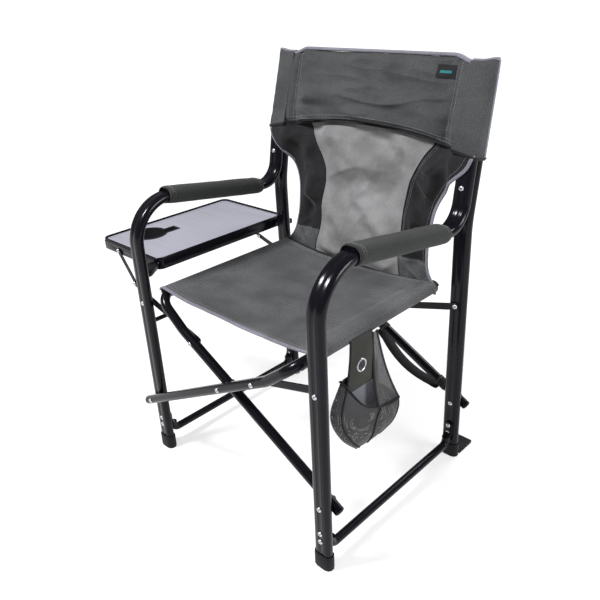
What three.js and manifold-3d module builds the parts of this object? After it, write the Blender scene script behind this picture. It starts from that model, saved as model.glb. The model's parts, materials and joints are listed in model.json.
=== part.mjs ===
// Folding camp chair with a side table, an X frame and a hanging pouch. Millimetres, +Z up.
// The chair faces -Y and the table is on the -X side. The origin is under the middle of the
// object's box, on the ground.
import * as THREE from 'three';
import { mergeVertices } from 'three/addons/utils/BufferGeometryUtils.js';
import Module from 'manifold-3d';

const wasm = await Module();
wasm.setup();

// ---- driving dimensions ----
const LEG_X = 280; // leg centre line to the chair's middle
const FRAME_SHIFT = 21; // the left frame stands this much further back than the right one
const FRONT_Y = -233; // front leg, before the shift
const REAR_Y = 229; // foot of the rear leg, before the shift
const KNEE_Z = 600; // where the rear upright starts to recline
const KNEE_Y = 219;
const RECLINE = 0.17; // the backrest goes this far back for each unit up
const TOP_Z = 905; // top end of the rear upright
const OVAL_W = 40; // the legs' flat oval section, wide along X
const OVAL_T = 20;
const WALL = 1.5;
const ROUND_R = 11; // crossing tubes
const BAR_R = 9.5; // side bars
const PIVOT_Z = 153; // crossing tubes' pivots on the legs
const LINK_Z = 411.4; // links' rivets on the legs
const OPEN_ANGLE = THREE.MathUtils.degToRad(28.4); // crossing tubes against the floor
const RAIL_REACH = 583; // leg pivot to seat rail, along the crossing tube
const RAIL_RISE = 17; // the seat rail stands this much above the tube's line
const LINK_REACH = 126.6; // centre pivot to the link's rivet
const TUBE_OVERHANG = 27; // crossing tube beyond its leg pivot
const ARM_DROP = 0.156; // the armrest falls this much for each unit back
const ARM_Z = 645; // armrest centre line at ARM_Y
const ARM_Y = -142;
const PAD_END_Y = 140;
const GAP = 0.3; // between pieces that touch
const RIVET_R = 3.1;
const RIVET_HOLE_R = 3.7;
const HEAD_R = 5.5;
const HEAD_T = 2;
const WASHER_R = 7;
const TABLE = { x0: -560, x1: -306, y0: -160, y1: 260, top: 485, deep: 22, wall: 5, cut: 16 };
const CUP = { x: -487, y: -60, r: 40, slotX: -470, slotHalf: 9, slotY: 10, lip: 6, deep: 46 };
const HINGE = { x: -317, z: 474 };
const BRACE_TOP = { x: -478, z: 472 };
const BRACE_KNEE = { x: -420, z: 398 };
const BRACE_FOOT = { x: -285, z: 355 };

// ---- derived places ----
const HALF_TUBE = LEG_X / Math.cos(OPEN_ANGLE);
const CENTRE_Z = PIVOT_Z + LEG_X * Math.tan(OPEN_ANGLE);
const TUBE_STEP = OVAL_T / 2 + ROUND_R + 1; // tube centre to leg centre, side by side
const shiftOf = (side) => -side * FRAME_SHIFT / 2;
const uprightY = (z) => (z < KNEE_Z
  ? REAR_Y + (KNEE_Y - REAR_Y) * z / KNEE_Z
  : KNEE_Y + RECLINE * (z - KNEE_Z));
const armZ = (y) => ARM_Z - ARM_DROP * (y - ARM_Y);
const TUBE_A_FRONT = FRONT_Y + shiftOf(-1) - TUBE_STEP;
const TUBE_A_REAR = uprightY(PIVOT_Z) + shiftOf(-1) - TUBE_STEP;
const TUBE_B_FRONT = FRONT_Y + shiftOf(1) + TUBE_STEP;
const TUBE_B_REAR = uprightY(PIVOT_Z) + shiftOf(1) + TUBE_STEP;
const recline = Math.atan(RECLINE);

// ---- materials ----
const metal = (color) => new THREE.MeshStandardMaterial({ color, roughness: 0.35, metalness: 0.8 });
const cloth = (color) => new THREE.MeshStandardMaterial({ color, roughness: 0.9, metalness: 0 });
const plastic = (color) => new THREE.MeshStandardMaterial({ color, roughness: 0.5, metalness: 0 });
const FRAME_BLACK = 0x1d1c22;
const RIVET_SILVER = 0xc8c8cc;
const PLUG_BLACK = 0x141416;
const SEAT_GREY = 0x5f6262;
const BACK_GREY = 0x525456;
const TABLE_GREY = 0xaaaab9;
const POUCH_OLIVE = 0x3c3d3a;
const MESH_BLACK = 0x1c1b22;

const chair = new THREE.Group();

function add(name, geometry, material, position = [0, 0, 0]) {
  const mesh = new THREE.Mesh(geometry, material);
  mesh.name = name;
  mesh.position.set(...position);
  chair.add(mesh);
  return mesh;
}

// ---- booleans ----
function toSolid(geometry) {
  const bare = geometry.clone();
  for (const name of Object.keys(bare.attributes)) {
    if (name !== 'position') bare.deleteAttribute(name);
  }
  const merged = mergeVertices(bare, 1e-4);
  return new wasm.Manifold(new wasm.Mesh({
    numProp: 3,
    vertProperties: new Float32Array(merged.attributes.position.array),
    triVerts: new Uint32Array(merged.index.array),
  }));
}

function toGeometry(solid) {
  const mesh = solid.getMesh();
  const geometry = new THREE.BufferGeometry();
  geometry.setAttribute('position', new THREE.BufferAttribute(new Float32Array(mesh.vertProperties), 3));
  geometry.setIndex(new THREE.BufferAttribute(new Uint32Array(mesh.triVerts), 1));
  return geometry;
}

function cut(geometry, ...tools) {
  let solid = toSolid(geometry);
  for (const tool of tools) solid = solid.subtract(toSolid(tool));
  return toGeometry(solid);
}

function join(geometry, ...others) {
  let solid = toSolid(geometry);
  for (const other of others) solid = solid.add(toSolid(other));
  return toGeometry(solid);
}

// ---- sections and paths ----
function circle(radius, count, turn = 0) {
  const at = (k) => turn + 2 * Math.PI * k / count;
  return Array.from({ length: count }, (_, k) => new THREE.Vector2(radius * Math.cos(at(k)),
    radius * Math.sin(at(k))));
}

// a flat oval: two half circles of `half` points each, joined by straight sides
function oval(width, thickness, half = 6) {
  const r = thickness / 2;
  const points = [];
  for (const side of [1, -1]) {
    for (let k = 0; k < half; k += 1) {
      const a = side * -Math.PI / 2 + Math.PI * k / (half - 1);
      points.push(new THREE.Vector2(side * (width / 2 - r) + r * Math.cos(a), r * Math.sin(a)));
    }
  }
  return points;
}

// corner points with a bend radius each, turned into points along straights and arcs
function bent(corners, radii, arcStep = 15) {
  const path = [corners[0]];
  for (let k = 1; k < corners.length - 1; k += 1) {
    const inward = corners[k].clone().sub(corners[k - 1]).normalize();
    const outward = corners[k + 1].clone().sub(corners[k]).normalize();
    const turn = inward.angleTo(outward);
    const setback = radii[k - 1] * Math.tan(turn / 2);
    const start = corners[k].clone().addScaledVector(inward, -setback);
    const across = outward.clone().addScaledVector(inward, -outward.dot(inward)).normalize();
    const steps = Math.max(2, Math.round(THREE.MathUtils.radToDeg(turn) / arcStep));
    for (let n = 0; n <= steps; n += 1) {
      const a = turn * n / steps;
      path.push(start.clone()
        .addScaledVector(inward, radii[k - 1] * Math.sin(a))
        .addScaledVector(across, radii[k - 1] * (1 - Math.cos(a))));
    }
  }
  path.push(corners[corners.length - 1]);
  return path;
}

// a path that keeps its section's x axis as close to `sideways` as the bends allow
class BentPath extends THREE.Curve {
  constructor(points, sideways) {
    super();
    this.points = points;
    this.sideways = sideways;
  }

  getSpacedPoints() {
    return this.points;
  }

  computeFrenetFrames() {
    const last = this.points.length - 1;
    const tangents = this.points.map((_, k) => this.points[Math.min(k + 1, last)].clone()
      .sub(this.points[Math.max(k - 1, 0)]).normalize());
    let normal = this.sideways.clone();
    const normals = tangents.map((tangent) => {
      normal = normal.clone().addScaledVector(tangent, -normal.dot(tangent)).normalize();
      return normal;
    });
    const binormals = tangents.map((tangent, k) => tangent.clone().cross(normals[k]));
    return { tangents, normals, binormals };
  }
}

function tube(points, sideways, outer, inner) {
  const shape = new THREE.Shape(outer);
  if (inner) shape.holes.push(new THREE.Path(inner));
  const extrudePath = new BentPath(points, sideways);
  return new THREE.ExtrudeGeometry(shape, { steps: points.length - 1, extrudePath });
}

const vec = (x, y, z) => new THREE.Vector3(x, y, z);
const ALONG_X = vec(1, 0, 0);
const OVAL_OUT = oval(OVAL_W, OVAL_T);
const OVAL_IN = oval(OVAL_W - 2 * WALL, OVAL_T - 2 * WALL, 5);

// a rod along Y between two places, with its own radius for each stretch
function turnedAlongY(stretches, sides = 8) {
  const profile = [new THREE.Vector2(0, stretches[0][1])];
  for (const [radius, from, to] of stretches) {
    profile.push(new THREE.Vector2(radius, from), new THREE.Vector2(radius, to));
  }
  profile.push(new THREE.Vector2(0, stretches[stretches.length - 1][2]));
  return new THREE.LatheGeometry(profile, sides);
}

// a rivet from head to head; a washer, if it has one, is a [from, to] stretch of its shank
function rivet(name, x, z, from, to, washer = null) {
  const shank = washer
    ? [[RIVET_R, from - GAP, washer[0]], [WASHER_R, ...washer], [RIVET_R, washer[1], to + GAP]]
    : [[RIVET_R, from - GAP, to + GAP]];
  const stretches = [
    [HEAD_R, from - GAP - HEAD_T, from - GAP],
    ...shank,
    [HEAD_R, to + GAP, to + GAP + HEAD_T],
  ];
  add(name, turnedAlongY(stretches), metal(RIVET_SILVER), [x, 0, z]);
}

function holeAlongY(x, z, from, to, radius = RIVET_HOLE_R) {
  const drill = new THREE.CylinderGeometry(radius, radius, to - from, 8, 1, false, Math.PI / 8);
  return drill.translate(x, (from + to) / 2, z);
}

// a flat piece drawn in X and Z, with its thickness from y0 to y1
function plateXZ(shape, y0, y1) {
  const plate = new THREE.ExtrudeGeometry(shape, { depth: y1 - y0, bevelEnabled: false });
  return plate.rotateX(Math.PI / 2).translate(0, y1, 0);
}

// a bar with round ends from one pin to another, drilled for both
function strap(from, to, halfWidth, y0, y1) {
  const length = Math.hypot(to.x - from.x, to.z - from.z);
  const outline = oval(length + 2 * halfWidth, 2 * halfWidth, 5)
    .map((p) => new THREE.Vector2(p.x + length / 2, p.y));
  const shape = new THREE.Shape(outline);
  for (const along of [0, length]) {
    const hole = circle(RIVET_HOLE_R, 8).map((p) => new THREE.Vector2(p.x + along, p.y));
    shape.holes.push(new THREE.Path(hole));
  }
  const bar = plateXZ(shape, 0, y1 - y0);
  bar.rotateY(-Math.atan2(to.z - from.z, to.x - from.x));
  return bar.translate(from.x, y0, from.z);
}

// ---- side frames ----
function addFrame(word, side) {
  const shift = shiftOf(side);
  const frontY = FRONT_Y + shift;
  const x = side * LEG_X;
  const footTop = 36;
  const legEnd = 6.3;

  // front leg and armrest, one tube
  const armBack = (OVAL_T + 2 * GAP) / Math.cos(recline);
  const backCornerY = (() => {
    const slopeSum = 1 + RECLINE * ARM_DROP;
    const base = KNEE_Y - armBack + RECLINE * (ARM_Z + ARM_DROP * ARM_Y - KNEE_Z);
    return base / slopeSum;
  })();
  const armTopZ = 735; // just under the back sleeve
  const corners = [
    vec(x, frontY, legEnd),
    vec(x, frontY, armZ(FRONT_Y)),
    vec(x, backCornerY + shift, armZ(backCornerY)),
    vec(x, KNEE_Y - armBack + RECLINE * (armTopZ - KNEE_Z) + shift, armTopZ),
  ];
  const armPath = bent(corners, [95, 56]);
  const armRivetZ = 672;
  const armRivetY = uprightY(armRivetZ) + shift;
  const square = (geometry) => geometry.rotateX(-recline).translate(x, armRivetY, armRivetZ);
  const drillArm = square(holeAlongY(0, 0, -40, 20));
  const legHoles = [PIVOT_Z, LINK_Z].map((z) => holeAlongY(x, z, frontY - 20, frontY + 20));
  add(`${word}_front_leg`, cut(tube(armPath, ALONG_X, OVAL_OUT, OVAL_IN), ...legHoles, drillArm),
    metal(FRAME_BLACK));

  // rear upright
  const rearCorners = [
    vec(x, uprightY(legEnd) + shift, legEnd),
    vec(x, KNEE_Y + shift, KNEE_Z),
    vec(x, uprightY(TOP_Z) + shift, TOP_Z),
  ];
  const rearHoles = [PIVOT_Z, LINK_Z].map((z) => {
    const y = uprightY(z) + shift;
    return holeAlongY(x, z, y - 20, y + 20);
  });
  add(`${word}_rear_upright`,
    cut(tube(bent(rearCorners, [260], 4), ALONG_X, OVAL_OUT, OVAL_IN), ...rearHoles, drillArm),
    metal(FRAME_BLACK));
  const armRivetEnds = [-1.5 * OVAL_T - 4 * GAP, OVAL_T / 2 + 2 * GAP];
  add(`${word}_arm_rivet`, square(turnedAlongY([
    [HEAD_R, armRivetEnds[0] - HEAD_T, armRivetEnds[0]],
    [RIVET_R, ...armRivetEnds],
    [HEAD_R, armRivetEnds[1], armRivetEnds[1] + HEAD_T],
  ])), metal(RIVET_SILVER));

  // side bar: a round tube low down, bent up at both ends into a plate on each leg
  const barZ = 40;
  const plateTop = 100;
  const plateT = 4;
  const turnUpTop = 58;
  const frontFace = frontY + OVAL_T / 2 + GAP;
  const rearFace = uprightY(plateTop) + shift - OVAL_T / 2 - 2 * GAP;
  const tubeOff = BAR_R + 2 * GAP;
  const barPath = bent([
    vec(x, frontFace + tubeOff, turnUpTop),
    vec(x, frontFace + tubeOff, barZ),
    vec(x, rearFace - tubeOff, barZ),
    vec(x, rearFace - tubeOff, turnUpTop),
  ], [14, 14], 22.5);
  const bar = tube(barPath, ALONG_X, circle(BAR_R, 12), circle(BAR_R - WALL, 8));
  const plates = [frontFace + plateT / 2, rearFace - plateT / 2].map((y) => new THREE
    .BoxGeometry(24, plateT, plateTop - barZ - 8).translate(x, y, (plateTop + barZ + 8) / 2));
  add(`${word}_side_bar`, join(bar, ...plates), metal(FRAME_BLACK));

  // feet: caps over the leg ends, the rear one with a flat heel
  const cup = (y, thick) => cut(
    tube([vec(x, y, 0), vec(x, y, footTop)], ALONG_X, oval(OVAL_W + 5, OVAL_T + 5)),
    tube([vec(x, y, legEnd - GAP), vec(x, y, footTop + 1)], ALONG_X,
      oval(OVAL_W + 0.8, OVAL_T + thick)),
  );
  add(`${word}_front_foot`, cup(frontY, 0.8), plastic(PLUG_BLACK));
  const heelLong = 56;
  const heel = new THREE.BoxGeometry(OVAL_W + 2, heelLong, 8)
    .translate(x, REAR_Y + shift + OVAL_T / 2 + 1.2 + heelLong / 2, 4);
  add(`${word}_rear_foot`, join(cup(REAR_Y + shift, 2.4), heel), plastic(PLUG_BLACK));

  // arm pad: a sleeve round the armrest
  const padPath = armPath.filter((p) => p.y > ARM_Y - 8 + shift && p.y < PAD_END_Y + shift);
  padPath.push(vec(x, PAD_END_Y + shift, armZ(PAD_END_Y)));
  add(`${word}_arm_pad`, tube(padPath, ALONG_X, oval(52, 38, 7), oval(OVAL_W + 2, OVAL_T + 2)),
    cloth(BACK_GREY));

  // sleeve of the backrest on the upright
  const sleeveEnds = [740, TOP_Z - 2].map((z) => vec(x, uprightY(z) + shift, z));
  add(`${word}_back_sleeve`, tube(sleeveEnds, ALONG_X, oval(46, 27), oval(OVAL_W + 2, OVAL_T + 2)),
    cloth(BACK_GREY));
}
addFrame('left', -1);
addFrame('right', 1);

// ---- crossing tubes ----
// each is a U: a front bar, a seat rail and a rear bar. `side` is the side of its leg pivots.
function addCrossTube(name, side, frontY, rearY) {
  const along = vec(-side * Math.cos(OPEN_ANGLE), 0, Math.sin(OPEN_ANGLE));
  const up = vec(side * Math.sin(OPEN_ANGLE), 0, Math.cos(OPEN_ANGLE));
  const place = (s, rise, y) => vec(side * LEG_X, y, PIVOT_Z)
    .addScaledVector(along, s).addScaledVector(up, rise);
  const jog = 60;
  const corners = [
    place(-TUBE_OVERHANG, 0, frontY),
    place(RAIL_REACH - jog - 40, 0, frontY),
    place(RAIL_REACH, RAIL_RISE, frontY),
    place(RAIL_REACH, RAIL_RISE, rearY),
    place(RAIL_REACH - jog - 40, 0, rearY),
    place(-TUBE_OVERHANG, 0, rearY),
  ];
  const path = bent(corners, [90, 40, 40, 90]);
  const body = tube(path, up, circle(ROUND_R, 12), circle(ROUND_R - WALL, 8));
  const holes = [];
  for (const s of [0, HALF_TUBE, HALF_TUBE + LINK_REACH]) {
    const at = place(s, 0, 0);
    for (const y of [frontY, rearY]) holes.push(holeAlongY(at.x, at.z, y - 16, y + 16));
  }
  add(name, cut(body, ...holes), metal(FRAME_BLACK));

  // plugs in the open ends
  for (const [word, y] of [['front', frontY], ['rear', rearY]]) {
    const end = place(-TUBE_OVERHANG, 0, y);
    const profile = [[0, -3], [6, -3], [ROUND_R, -GAP - 0.5], [ROUND_R, -GAP], [8, -GAP], [8, 12], [0, 12]]
      .map(([r, h]) => new THREE.Vector2(r, h));
    const plug = add(`${name}_${word}_plug`, new THREE.LatheGeometry(profile, 10), plastic(PLUG_BLACK));
    plug.quaternion.setFromUnitVectors(vec(0, 1, 0), along);
    plug.position.copy(end);
  }
}
addCrossTube('x_tube_a', -1, TUBE_A_FRONT, TUBE_A_REAR);
addCrossTube('x_tube_b', 1, TUBE_B_FRONT, TUBE_B_REAR);

rivet('centre_pivot_front', 0, CENTRE_Z, TUBE_A_FRONT - ROUND_R, TUBE_B_FRONT + ROUND_R);
rivet('centre_pivot_rear', 0, CENTRE_Z, TUBE_A_REAR - ROUND_R, TUBE_B_REAR + ROUND_R);

// leg pivots, links and the links' rivets
const LINK_T = 3;
// the uprights lean towards the rear links as these fold up, so a washer keeps them off
const LEAN_ROOM = 1.6;
for (const [word, side] of [['left', -1], ['right', 1]]) {
  const shift = shiftOf(side);
  // tube A hangs on the left legs and tube B on the right ones
  const pivotTube = side < 0
    ? { front: TUBE_A_FRONT, rear: TUBE_A_REAR }
    : { front: TUBE_B_FRONT, rear: TUBE_B_REAR };
  // the link on this side holds the other tube's upper half
  const linkTube = side < 0
    ? { front: TUBE_B_FRONT, rear: TUBE_B_REAR }
    : { front: TUBE_A_FRONT, rear: TUBE_A_REAR };
  for (const end of ['front', 'rear']) {
    const legY = (z) => (end === 'front' ? FRONT_Y : uprightY(z)) + shift;
    const pivotSpan = [legY(PIVOT_Z) - OVAL_T / 2, legY(PIVOT_Z) + OVAL_T / 2,
      pivotTube[end] - ROUND_R, pivotTube[end] + ROUND_R];
    rivet(`${word}_${end}_leg_pivot`, side * LEG_X, PIVOT_Z,
      Math.min(...pivotSpan), Math.max(...pivotSpan));

    const inside = end === 'front' ? 1 : -1; // links lie on the inner faces
    const legFace = legY(LINK_Z) + inside * OVAL_T / 2;
    const tubeFace = linkTube[end] + inside * ROUND_R;
    const outerFace = inside > 0 ? Math.max(legFace, tubeFace) : Math.min(legFace, tubeFace);
    const room = end === 'rear' ? LEAN_ROOM : 0;
    const face = outerFace + inside * (GAP + room);
    const low = inside > 0 ? face : face - LINK_T;
    const reach = HALF_TUBE + LINK_REACH;
    const tubePin = {
      x: -side * LEG_X + side * reach * Math.cos(OPEN_ANGLE),
      z: PIVOT_Z + reach * Math.sin(OPEN_ANGLE),
    };
    const legPin = { x: side * LEG_X, z: LINK_Z };
    add(`${word}_${end}_link`, strap(legPin, tubePin, 8, low, low + LINK_T), metal(FRAME_BLACK));
    const legFar = legY(LINK_Z) - inside * OVAL_T / 2;
    const linkFar = face + inside * LINK_T;
    const washer = room ? [legFace - room, legFace - GAP] : null;
    rivet(`${word}_${end}_link_leg_rivet`, legPin.x, legPin.z,
      Math.min(legFar, linkFar), Math.max(legFar, linkFar), washer);
    // this one's shank stops at the tube, where the linkage is opened
    const stud = [[RIVET_R, 0, LINK_T + GAP], [HEAD_R, LINK_T + GAP, LINK_T + GAP + HEAD_T]];
    const studShape = turnedAlongY(stud);
    if (inside < 0) studShape.rotateZ(Math.PI);
    add(`${word}_${end}_link_tube_rivet`, studShape, metal(RIVET_SILVER),
      [tubePin.x, face, tubePin.z]);
  }
}

// ---- side table ----
function cutCorners(x0, y0, x1, y1, c) {
  return [[x0 + c, y0], [x1 - c, y0], [x1, y0 + c], [x1, y1 - c], [x1 - c, y1], [x0 + c, y1],
    [x0, y1 - c], [x0, y0 + c]].map(([x, y]) => new THREE.Vector2(x, y));
}

// a round hole that runs into a slot towards +Y
function keyhole(grow) {
  const r = CUP.r + grow;
  const half = CUP.slotHalf + grow;
  const off = CUP.slotX - CUP.x;
  const first = Math.acos((off + half) / r);
  const last = Math.acos((off - half) / r);
  const points = [];
  const steps = 20;
  for (let k = 0; k <= steps; k += 1) {
    const a = last + (2 * Math.PI - last + first) * k / steps;
    points.push(new THREE.Vector2(CUP.x + r * Math.cos(a), CUP.y + r * Math.sin(a)));
  }
  points.push(new THREE.Vector2(CUP.slotX + half, CUP.slotY + grow));
  points.push(new THREE.Vector2(CUP.slotX - half, CUP.slotY + grow));
  return points;
}

function addTable() {
  const { x0, x1, y0, y1, top, deep, wall, cut: corner } = TABLE;
  const inset = wall + GAP;
  const rimShape = new THREE.Shape(cutCorners(x0, y0, x1, y1, corner));
  rimShape.holes.push(new THREE.Path(cutCorners(x0 + wall, y0 + wall, x1 - wall, y1 - wall, corner - 3)));
  const rim = new THREE.ExtrudeGeometry(rimShape, { depth: deep, bevelEnabled: false })
    .translate(0, 0, top - deep);
  const pinHoles = [HINGE, BRACE_TOP].flatMap(({ x, z }) => [
    holeAlongY(x, z, y0 - 4, y0 + wall + 4),
    holeAlongY(x, z, y1 - wall - 4, y1 + 4),
  ]);
  add('table_rim', cut(rim, ...pinHoles), metal(FRAME_BLACK));

  const panelT = 5;
  const topShape = new THREE.Shape(cutCorners(x0 + inset, y0 + inset, x1 - inset, y1 - inset, corner - 3));
  topShape.holes.push(new THREE.Path(keyhole(CUP.lip + GAP)));
  const panel = new THREE.ExtrudeGeometry(topShape, { depth: panelT, bevelEnabled: false });
  add('table_top', panel, metal(TABLE_GREY), [0, 0, top - panelT]);

  const ringShape = new THREE.Shape(keyhole(CUP.lip));
  ringShape.holes.push(new THREE.Path(keyhole(0)));
  const ringRise = 1.5; // its lip stands this proud of the top
  const ring = new THREE.ExtrudeGeometry(ringShape, { depth: CUP.deep, bevelEnabled: false });
  add('cup_ring', ring, metal(TABLE_GREY), [0, 0, top + ringRise - CUP.deep]);

  // hinge brackets on the left legs, each with its own stud into the rim
  const shift = shiftOf(-1);
  const frontFace = FRONT_Y + shift + OVAL_T / 2 + GAP;
  const rearFace = uprightY(HINGE.z) + shift + OVAL_T / 2 + 2 * GAP;
  const innerX = -LEG_X + 1;
  const block = 12;
  const frontOutline = [[-LEG_X - 19, frontFace], [innerX, frontFace], [innerX, frontFace + 14],
    [HINGE.x + 11, y0 - GAP], [HINGE.x - 11, y0 - GAP], [HINGE.x - 11, y0 - 14]];
  const clearX = HINGE.x + 16.2; // the rim's corner swings round within this
  const rearOutline = [[clearX, rearFace], [innerX, rearFace], [innerX, y1 + 4.5],
    [HINGE.x - 11, y1 + 4.5], [HINGE.x - 11, y1 + 0.5], [clearX, y1 + 0.5]];
  const bracket = (outline) => new THREE.ExtrudeGeometry(
    new THREE.Shape(outline.map(([x, y]) => new THREE.Vector2(x, y))),
    { depth: block, bevelEnabled: false },
  ).translate(0, 0, HINGE.z - block / 2);
  const stud = (from, to) => turnedAlongY([[RIVET_R, from, to]]).translate(HINGE.x, 0, HINGE.z);
  add('table_front_bracket', join(bracket(frontOutline), stud(y0 - 2, y0 + wall + 2)), metal(FRAME_BLACK));
  add('table_rear_bracket', join(bracket(rearOutline), stud(y1 - wall - 2, y1 + 2)), metal(FRAME_BLACK));

  // folding braces: an upper strut on the rim and a lower one on the leg, side by side
  const strutT = 2.5;
  for (const [word, rimFace, out, legFace] of [
    ['front', y0, -1, FRONT_Y + shift + OVAL_T / 2],
    ['rear', y1, 1, uprightY(BRACE_FOOT.z) + shift + OVAL_T / 2],
  ]) {
    const band = (k) => {
      const near = rimFace + out * (0.6 + k * (strutT + 0.5));
      return [Math.min(near, near + out * strutT), Math.max(near, near + out * strutT)];
    };
    add(`table_${word}_upper_brace`, strap(BRACE_TOP, BRACE_KNEE, 6, ...band(0)), metal(FRAME_BLACK));
    add(`table_${word}_lower_brace`, strap(BRACE_FOOT, BRACE_KNEE, 6, ...band(1)), metal(FRAME_BLACK));
    const [upLow, upHigh] = band(0);
    const rimInner = rimFace - out * TABLE.wall;
    rivet(`table_${word}_brace_rivet`, BRACE_TOP.x, BRACE_TOP.z,
      Math.min(rimInner, upLow), Math.max(rimInner, upHigh));
    // post from the leg to the lower strut, stepped down where it goes through
    const [low, high] = band(1);
    const post = [
      [HEAD_R, legFace + 2 * GAP, low - GAP],
      [RIVET_R, low - GAP, high + GAP],
      [HEAD_R, high + GAP, high + GAP + HEAD_T],
    ];
    add(`table_${word}_brace_post`, turnedAlongY(post), metal(FRAME_BLACK),
      [BRACE_FOOT.x, 0, BRACE_FOOT.z]);
  }
}
addTable();

// ---- seat: a half on each rail, meeting in the middle ----
function addSeatHalf(name, side) {
  const railX = LEG_X - RAIL_REACH * Math.cos(OPEN_ANGLE) + RAIL_RISE * Math.sin(OPEN_ANGLE);
  const railZ = PIVOT_Z + RAIL_REACH * Math.sin(OPEN_ANGLE) + RAIL_RISE * Math.cos(OPEN_ANGLE);
  const offsets = [[-18, 2], [-13, 12], [0, 17.5], [14, 16.5], [38, 13], [120, 3], [223, -2],
    [223, -7], [120, -2], [38, 8], [15, 12], [0, 12.5], [-9, 9], [-13, 2]];
  const outline = offsets.map(([dx, dz]) => new THREE.Vector2(side * (-railX - dx), railZ + dz));
  const plate = plateXZ(new THREE.Shape(outline), -205, 195);
  add(name, plate, cloth(SEAT_GREY));
}
addSeatHalf('seat_left', -1);
addSeatHalf('seat_right', 1);

// ---- backrest: a half on each sleeve, in one plane with the uprights ----
function addBackHalf(name, side) {
  const hingeX = 256;
  const thick = 8;
  // half widths up the plane, wide at the header and at the seat, narrow in between
  const edge = [[0.8, 470], [222, 470], [222, 500], [205, 560], [207, 620], [230, 690], [hingeX, 738],
    [hingeX, TOP_Z], [0.8, TOP_Z]];
  const shape = new THREE.Shape(edge.map(([x, z]) => new THREE.Vector2(side * x, (z - KNEE_Z) / Math.cos(recline))));
  const plate = new THREE.ExtrudeGeometry(shape, { depth: thick, bevelEnabled: false })
    .translate(0, 0, -thick / 2);
  const mesh = add(name, plate, cloth(BACK_GREY), [0, KNEE_Y, KNEE_Z]);
  mesh.rotation.x = Math.PI / 2 - recline;
}
addBackHalf('back_left', -1);
addBackHalf('back_right', 1);

// ---- pouch under the right rail ----
const POUCH = { x: 240, y: -66, top: 432 };
add('pouch_panel', new THREE.BoxGeometry(3, 112, 96), cloth(POUCH_OLIVE), [POUCH.x + 8, POUCH.y - 14, POUCH.top - 48]);
const BAG = { top: 334, bottom: 190, y: -70, wide: 92, deep: 26, foot: 0.62 };
const bagShell = (shrink, bottom, top) => {
  const shell = new THREE.CylinderGeometry(1, BAG.foot, top - bottom, 12);
  shell.rotateX(Math.PI / 2);
  shell.scale(BAG.deep - shrink, BAG.wide - shrink, 1);
  return shell.translate(POUCH.x, BAG.y, (top + bottom) / 2);
};
add('pouch_bag', cut(bagShell(0, BAG.bottom, BAG.top), bagShell(3, BAG.bottom + 3, BAG.top + 1)), cloth(MESH_BLACK));

// a mirrored geometry, with its faces turned back out
function flipped(geometry) {
  const plain = geometry.index ? geometry.toNonIndexed() : geometry;
  const places = plain.attributes.position;
  for (let k = 0; k < places.count; k += 3) {
    const [a, b] = [k + 1, k + 2].map((n) => vec(places.getX(n), places.getY(n), places.getZ(n)));
    places.setXYZ(k + 1, b.x, b.y, b.z);
    places.setXYZ(k + 2, a.x, a.y, a.z);
  }
  return plain;
}

// ---- carry strap, bowed under tube B's rear bar ----
function addCarryStrap() {
  const from = 55;
  const to = 250;
  const steps = 10;
  const bow = 30;
  const webbing = 2.5;
  const line = (grow) => Array.from({ length: steps + 1 }, (_, k) => {
    const t = k / steps;
    const sag = ROUND_R + 1.5 + grow + bow * Math.sin(Math.PI * t) ** 0.8;
    return new THREE.Vector2(from + (to - from) * t, -sag);
  });
  const shape = new THREE.Shape([...line(webbing), ...line(0).reverse()]);
  const width = 32;
  const y0 = TUBE_B_REAR - ROUND_R + 0.8;
  const webbingPlate = plateXZ(shape, 0, width);
  // turned about its width so that its length runs up tube B from the right leg
  webbingPlate.scale(-1, 1, 1).rotateY(OPEN_ANGLE);
  add('carry_strap', flipped(webbingPlate), cloth(PLUG_BLACK), [LEG_X, y0, PIVOT_Z]);
}
addCarryStrap();

// ---- origin under the middle of the box ----
const root = new THREE.Group();
root.add(chair);
const box = new THREE.Box3().setFromObject(root, true);
chair.position.set(-(box.min.x + box.max.x) / 2, -(box.min.y + box.max.y) / 2, -box.min.z);

export default root;
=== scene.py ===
"""Looks of the folding camp chair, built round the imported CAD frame. Sizes are in millimetres in the
chair's own frame (x = 0 midway between the side frames, y = 0 between the feet, z = 0 on the floor),
and at() turns them into the row frame's metres."""
import json
import math
import bpy
import bmesh
import numpy as np
from mathutils import Matrix, Vector, noise
from mathutils.bvhtree import BVHTree


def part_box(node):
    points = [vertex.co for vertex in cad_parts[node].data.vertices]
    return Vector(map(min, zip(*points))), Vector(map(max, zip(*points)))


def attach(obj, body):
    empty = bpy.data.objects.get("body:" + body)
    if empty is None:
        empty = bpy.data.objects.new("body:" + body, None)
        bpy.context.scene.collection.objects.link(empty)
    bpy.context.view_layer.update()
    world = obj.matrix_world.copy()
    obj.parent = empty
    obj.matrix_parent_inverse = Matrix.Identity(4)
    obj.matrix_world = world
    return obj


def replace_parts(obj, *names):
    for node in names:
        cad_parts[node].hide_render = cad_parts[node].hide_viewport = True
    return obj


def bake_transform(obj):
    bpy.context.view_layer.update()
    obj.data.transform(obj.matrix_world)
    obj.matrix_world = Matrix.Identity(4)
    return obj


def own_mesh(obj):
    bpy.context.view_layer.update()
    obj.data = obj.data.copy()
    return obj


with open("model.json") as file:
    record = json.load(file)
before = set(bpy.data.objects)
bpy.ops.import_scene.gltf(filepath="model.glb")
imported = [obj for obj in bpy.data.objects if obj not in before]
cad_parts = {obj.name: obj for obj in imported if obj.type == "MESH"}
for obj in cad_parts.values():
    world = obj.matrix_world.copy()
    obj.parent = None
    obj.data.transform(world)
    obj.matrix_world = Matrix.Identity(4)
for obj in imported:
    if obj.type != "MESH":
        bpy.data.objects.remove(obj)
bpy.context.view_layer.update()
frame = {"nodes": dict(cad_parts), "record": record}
MM = 0.001

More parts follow.
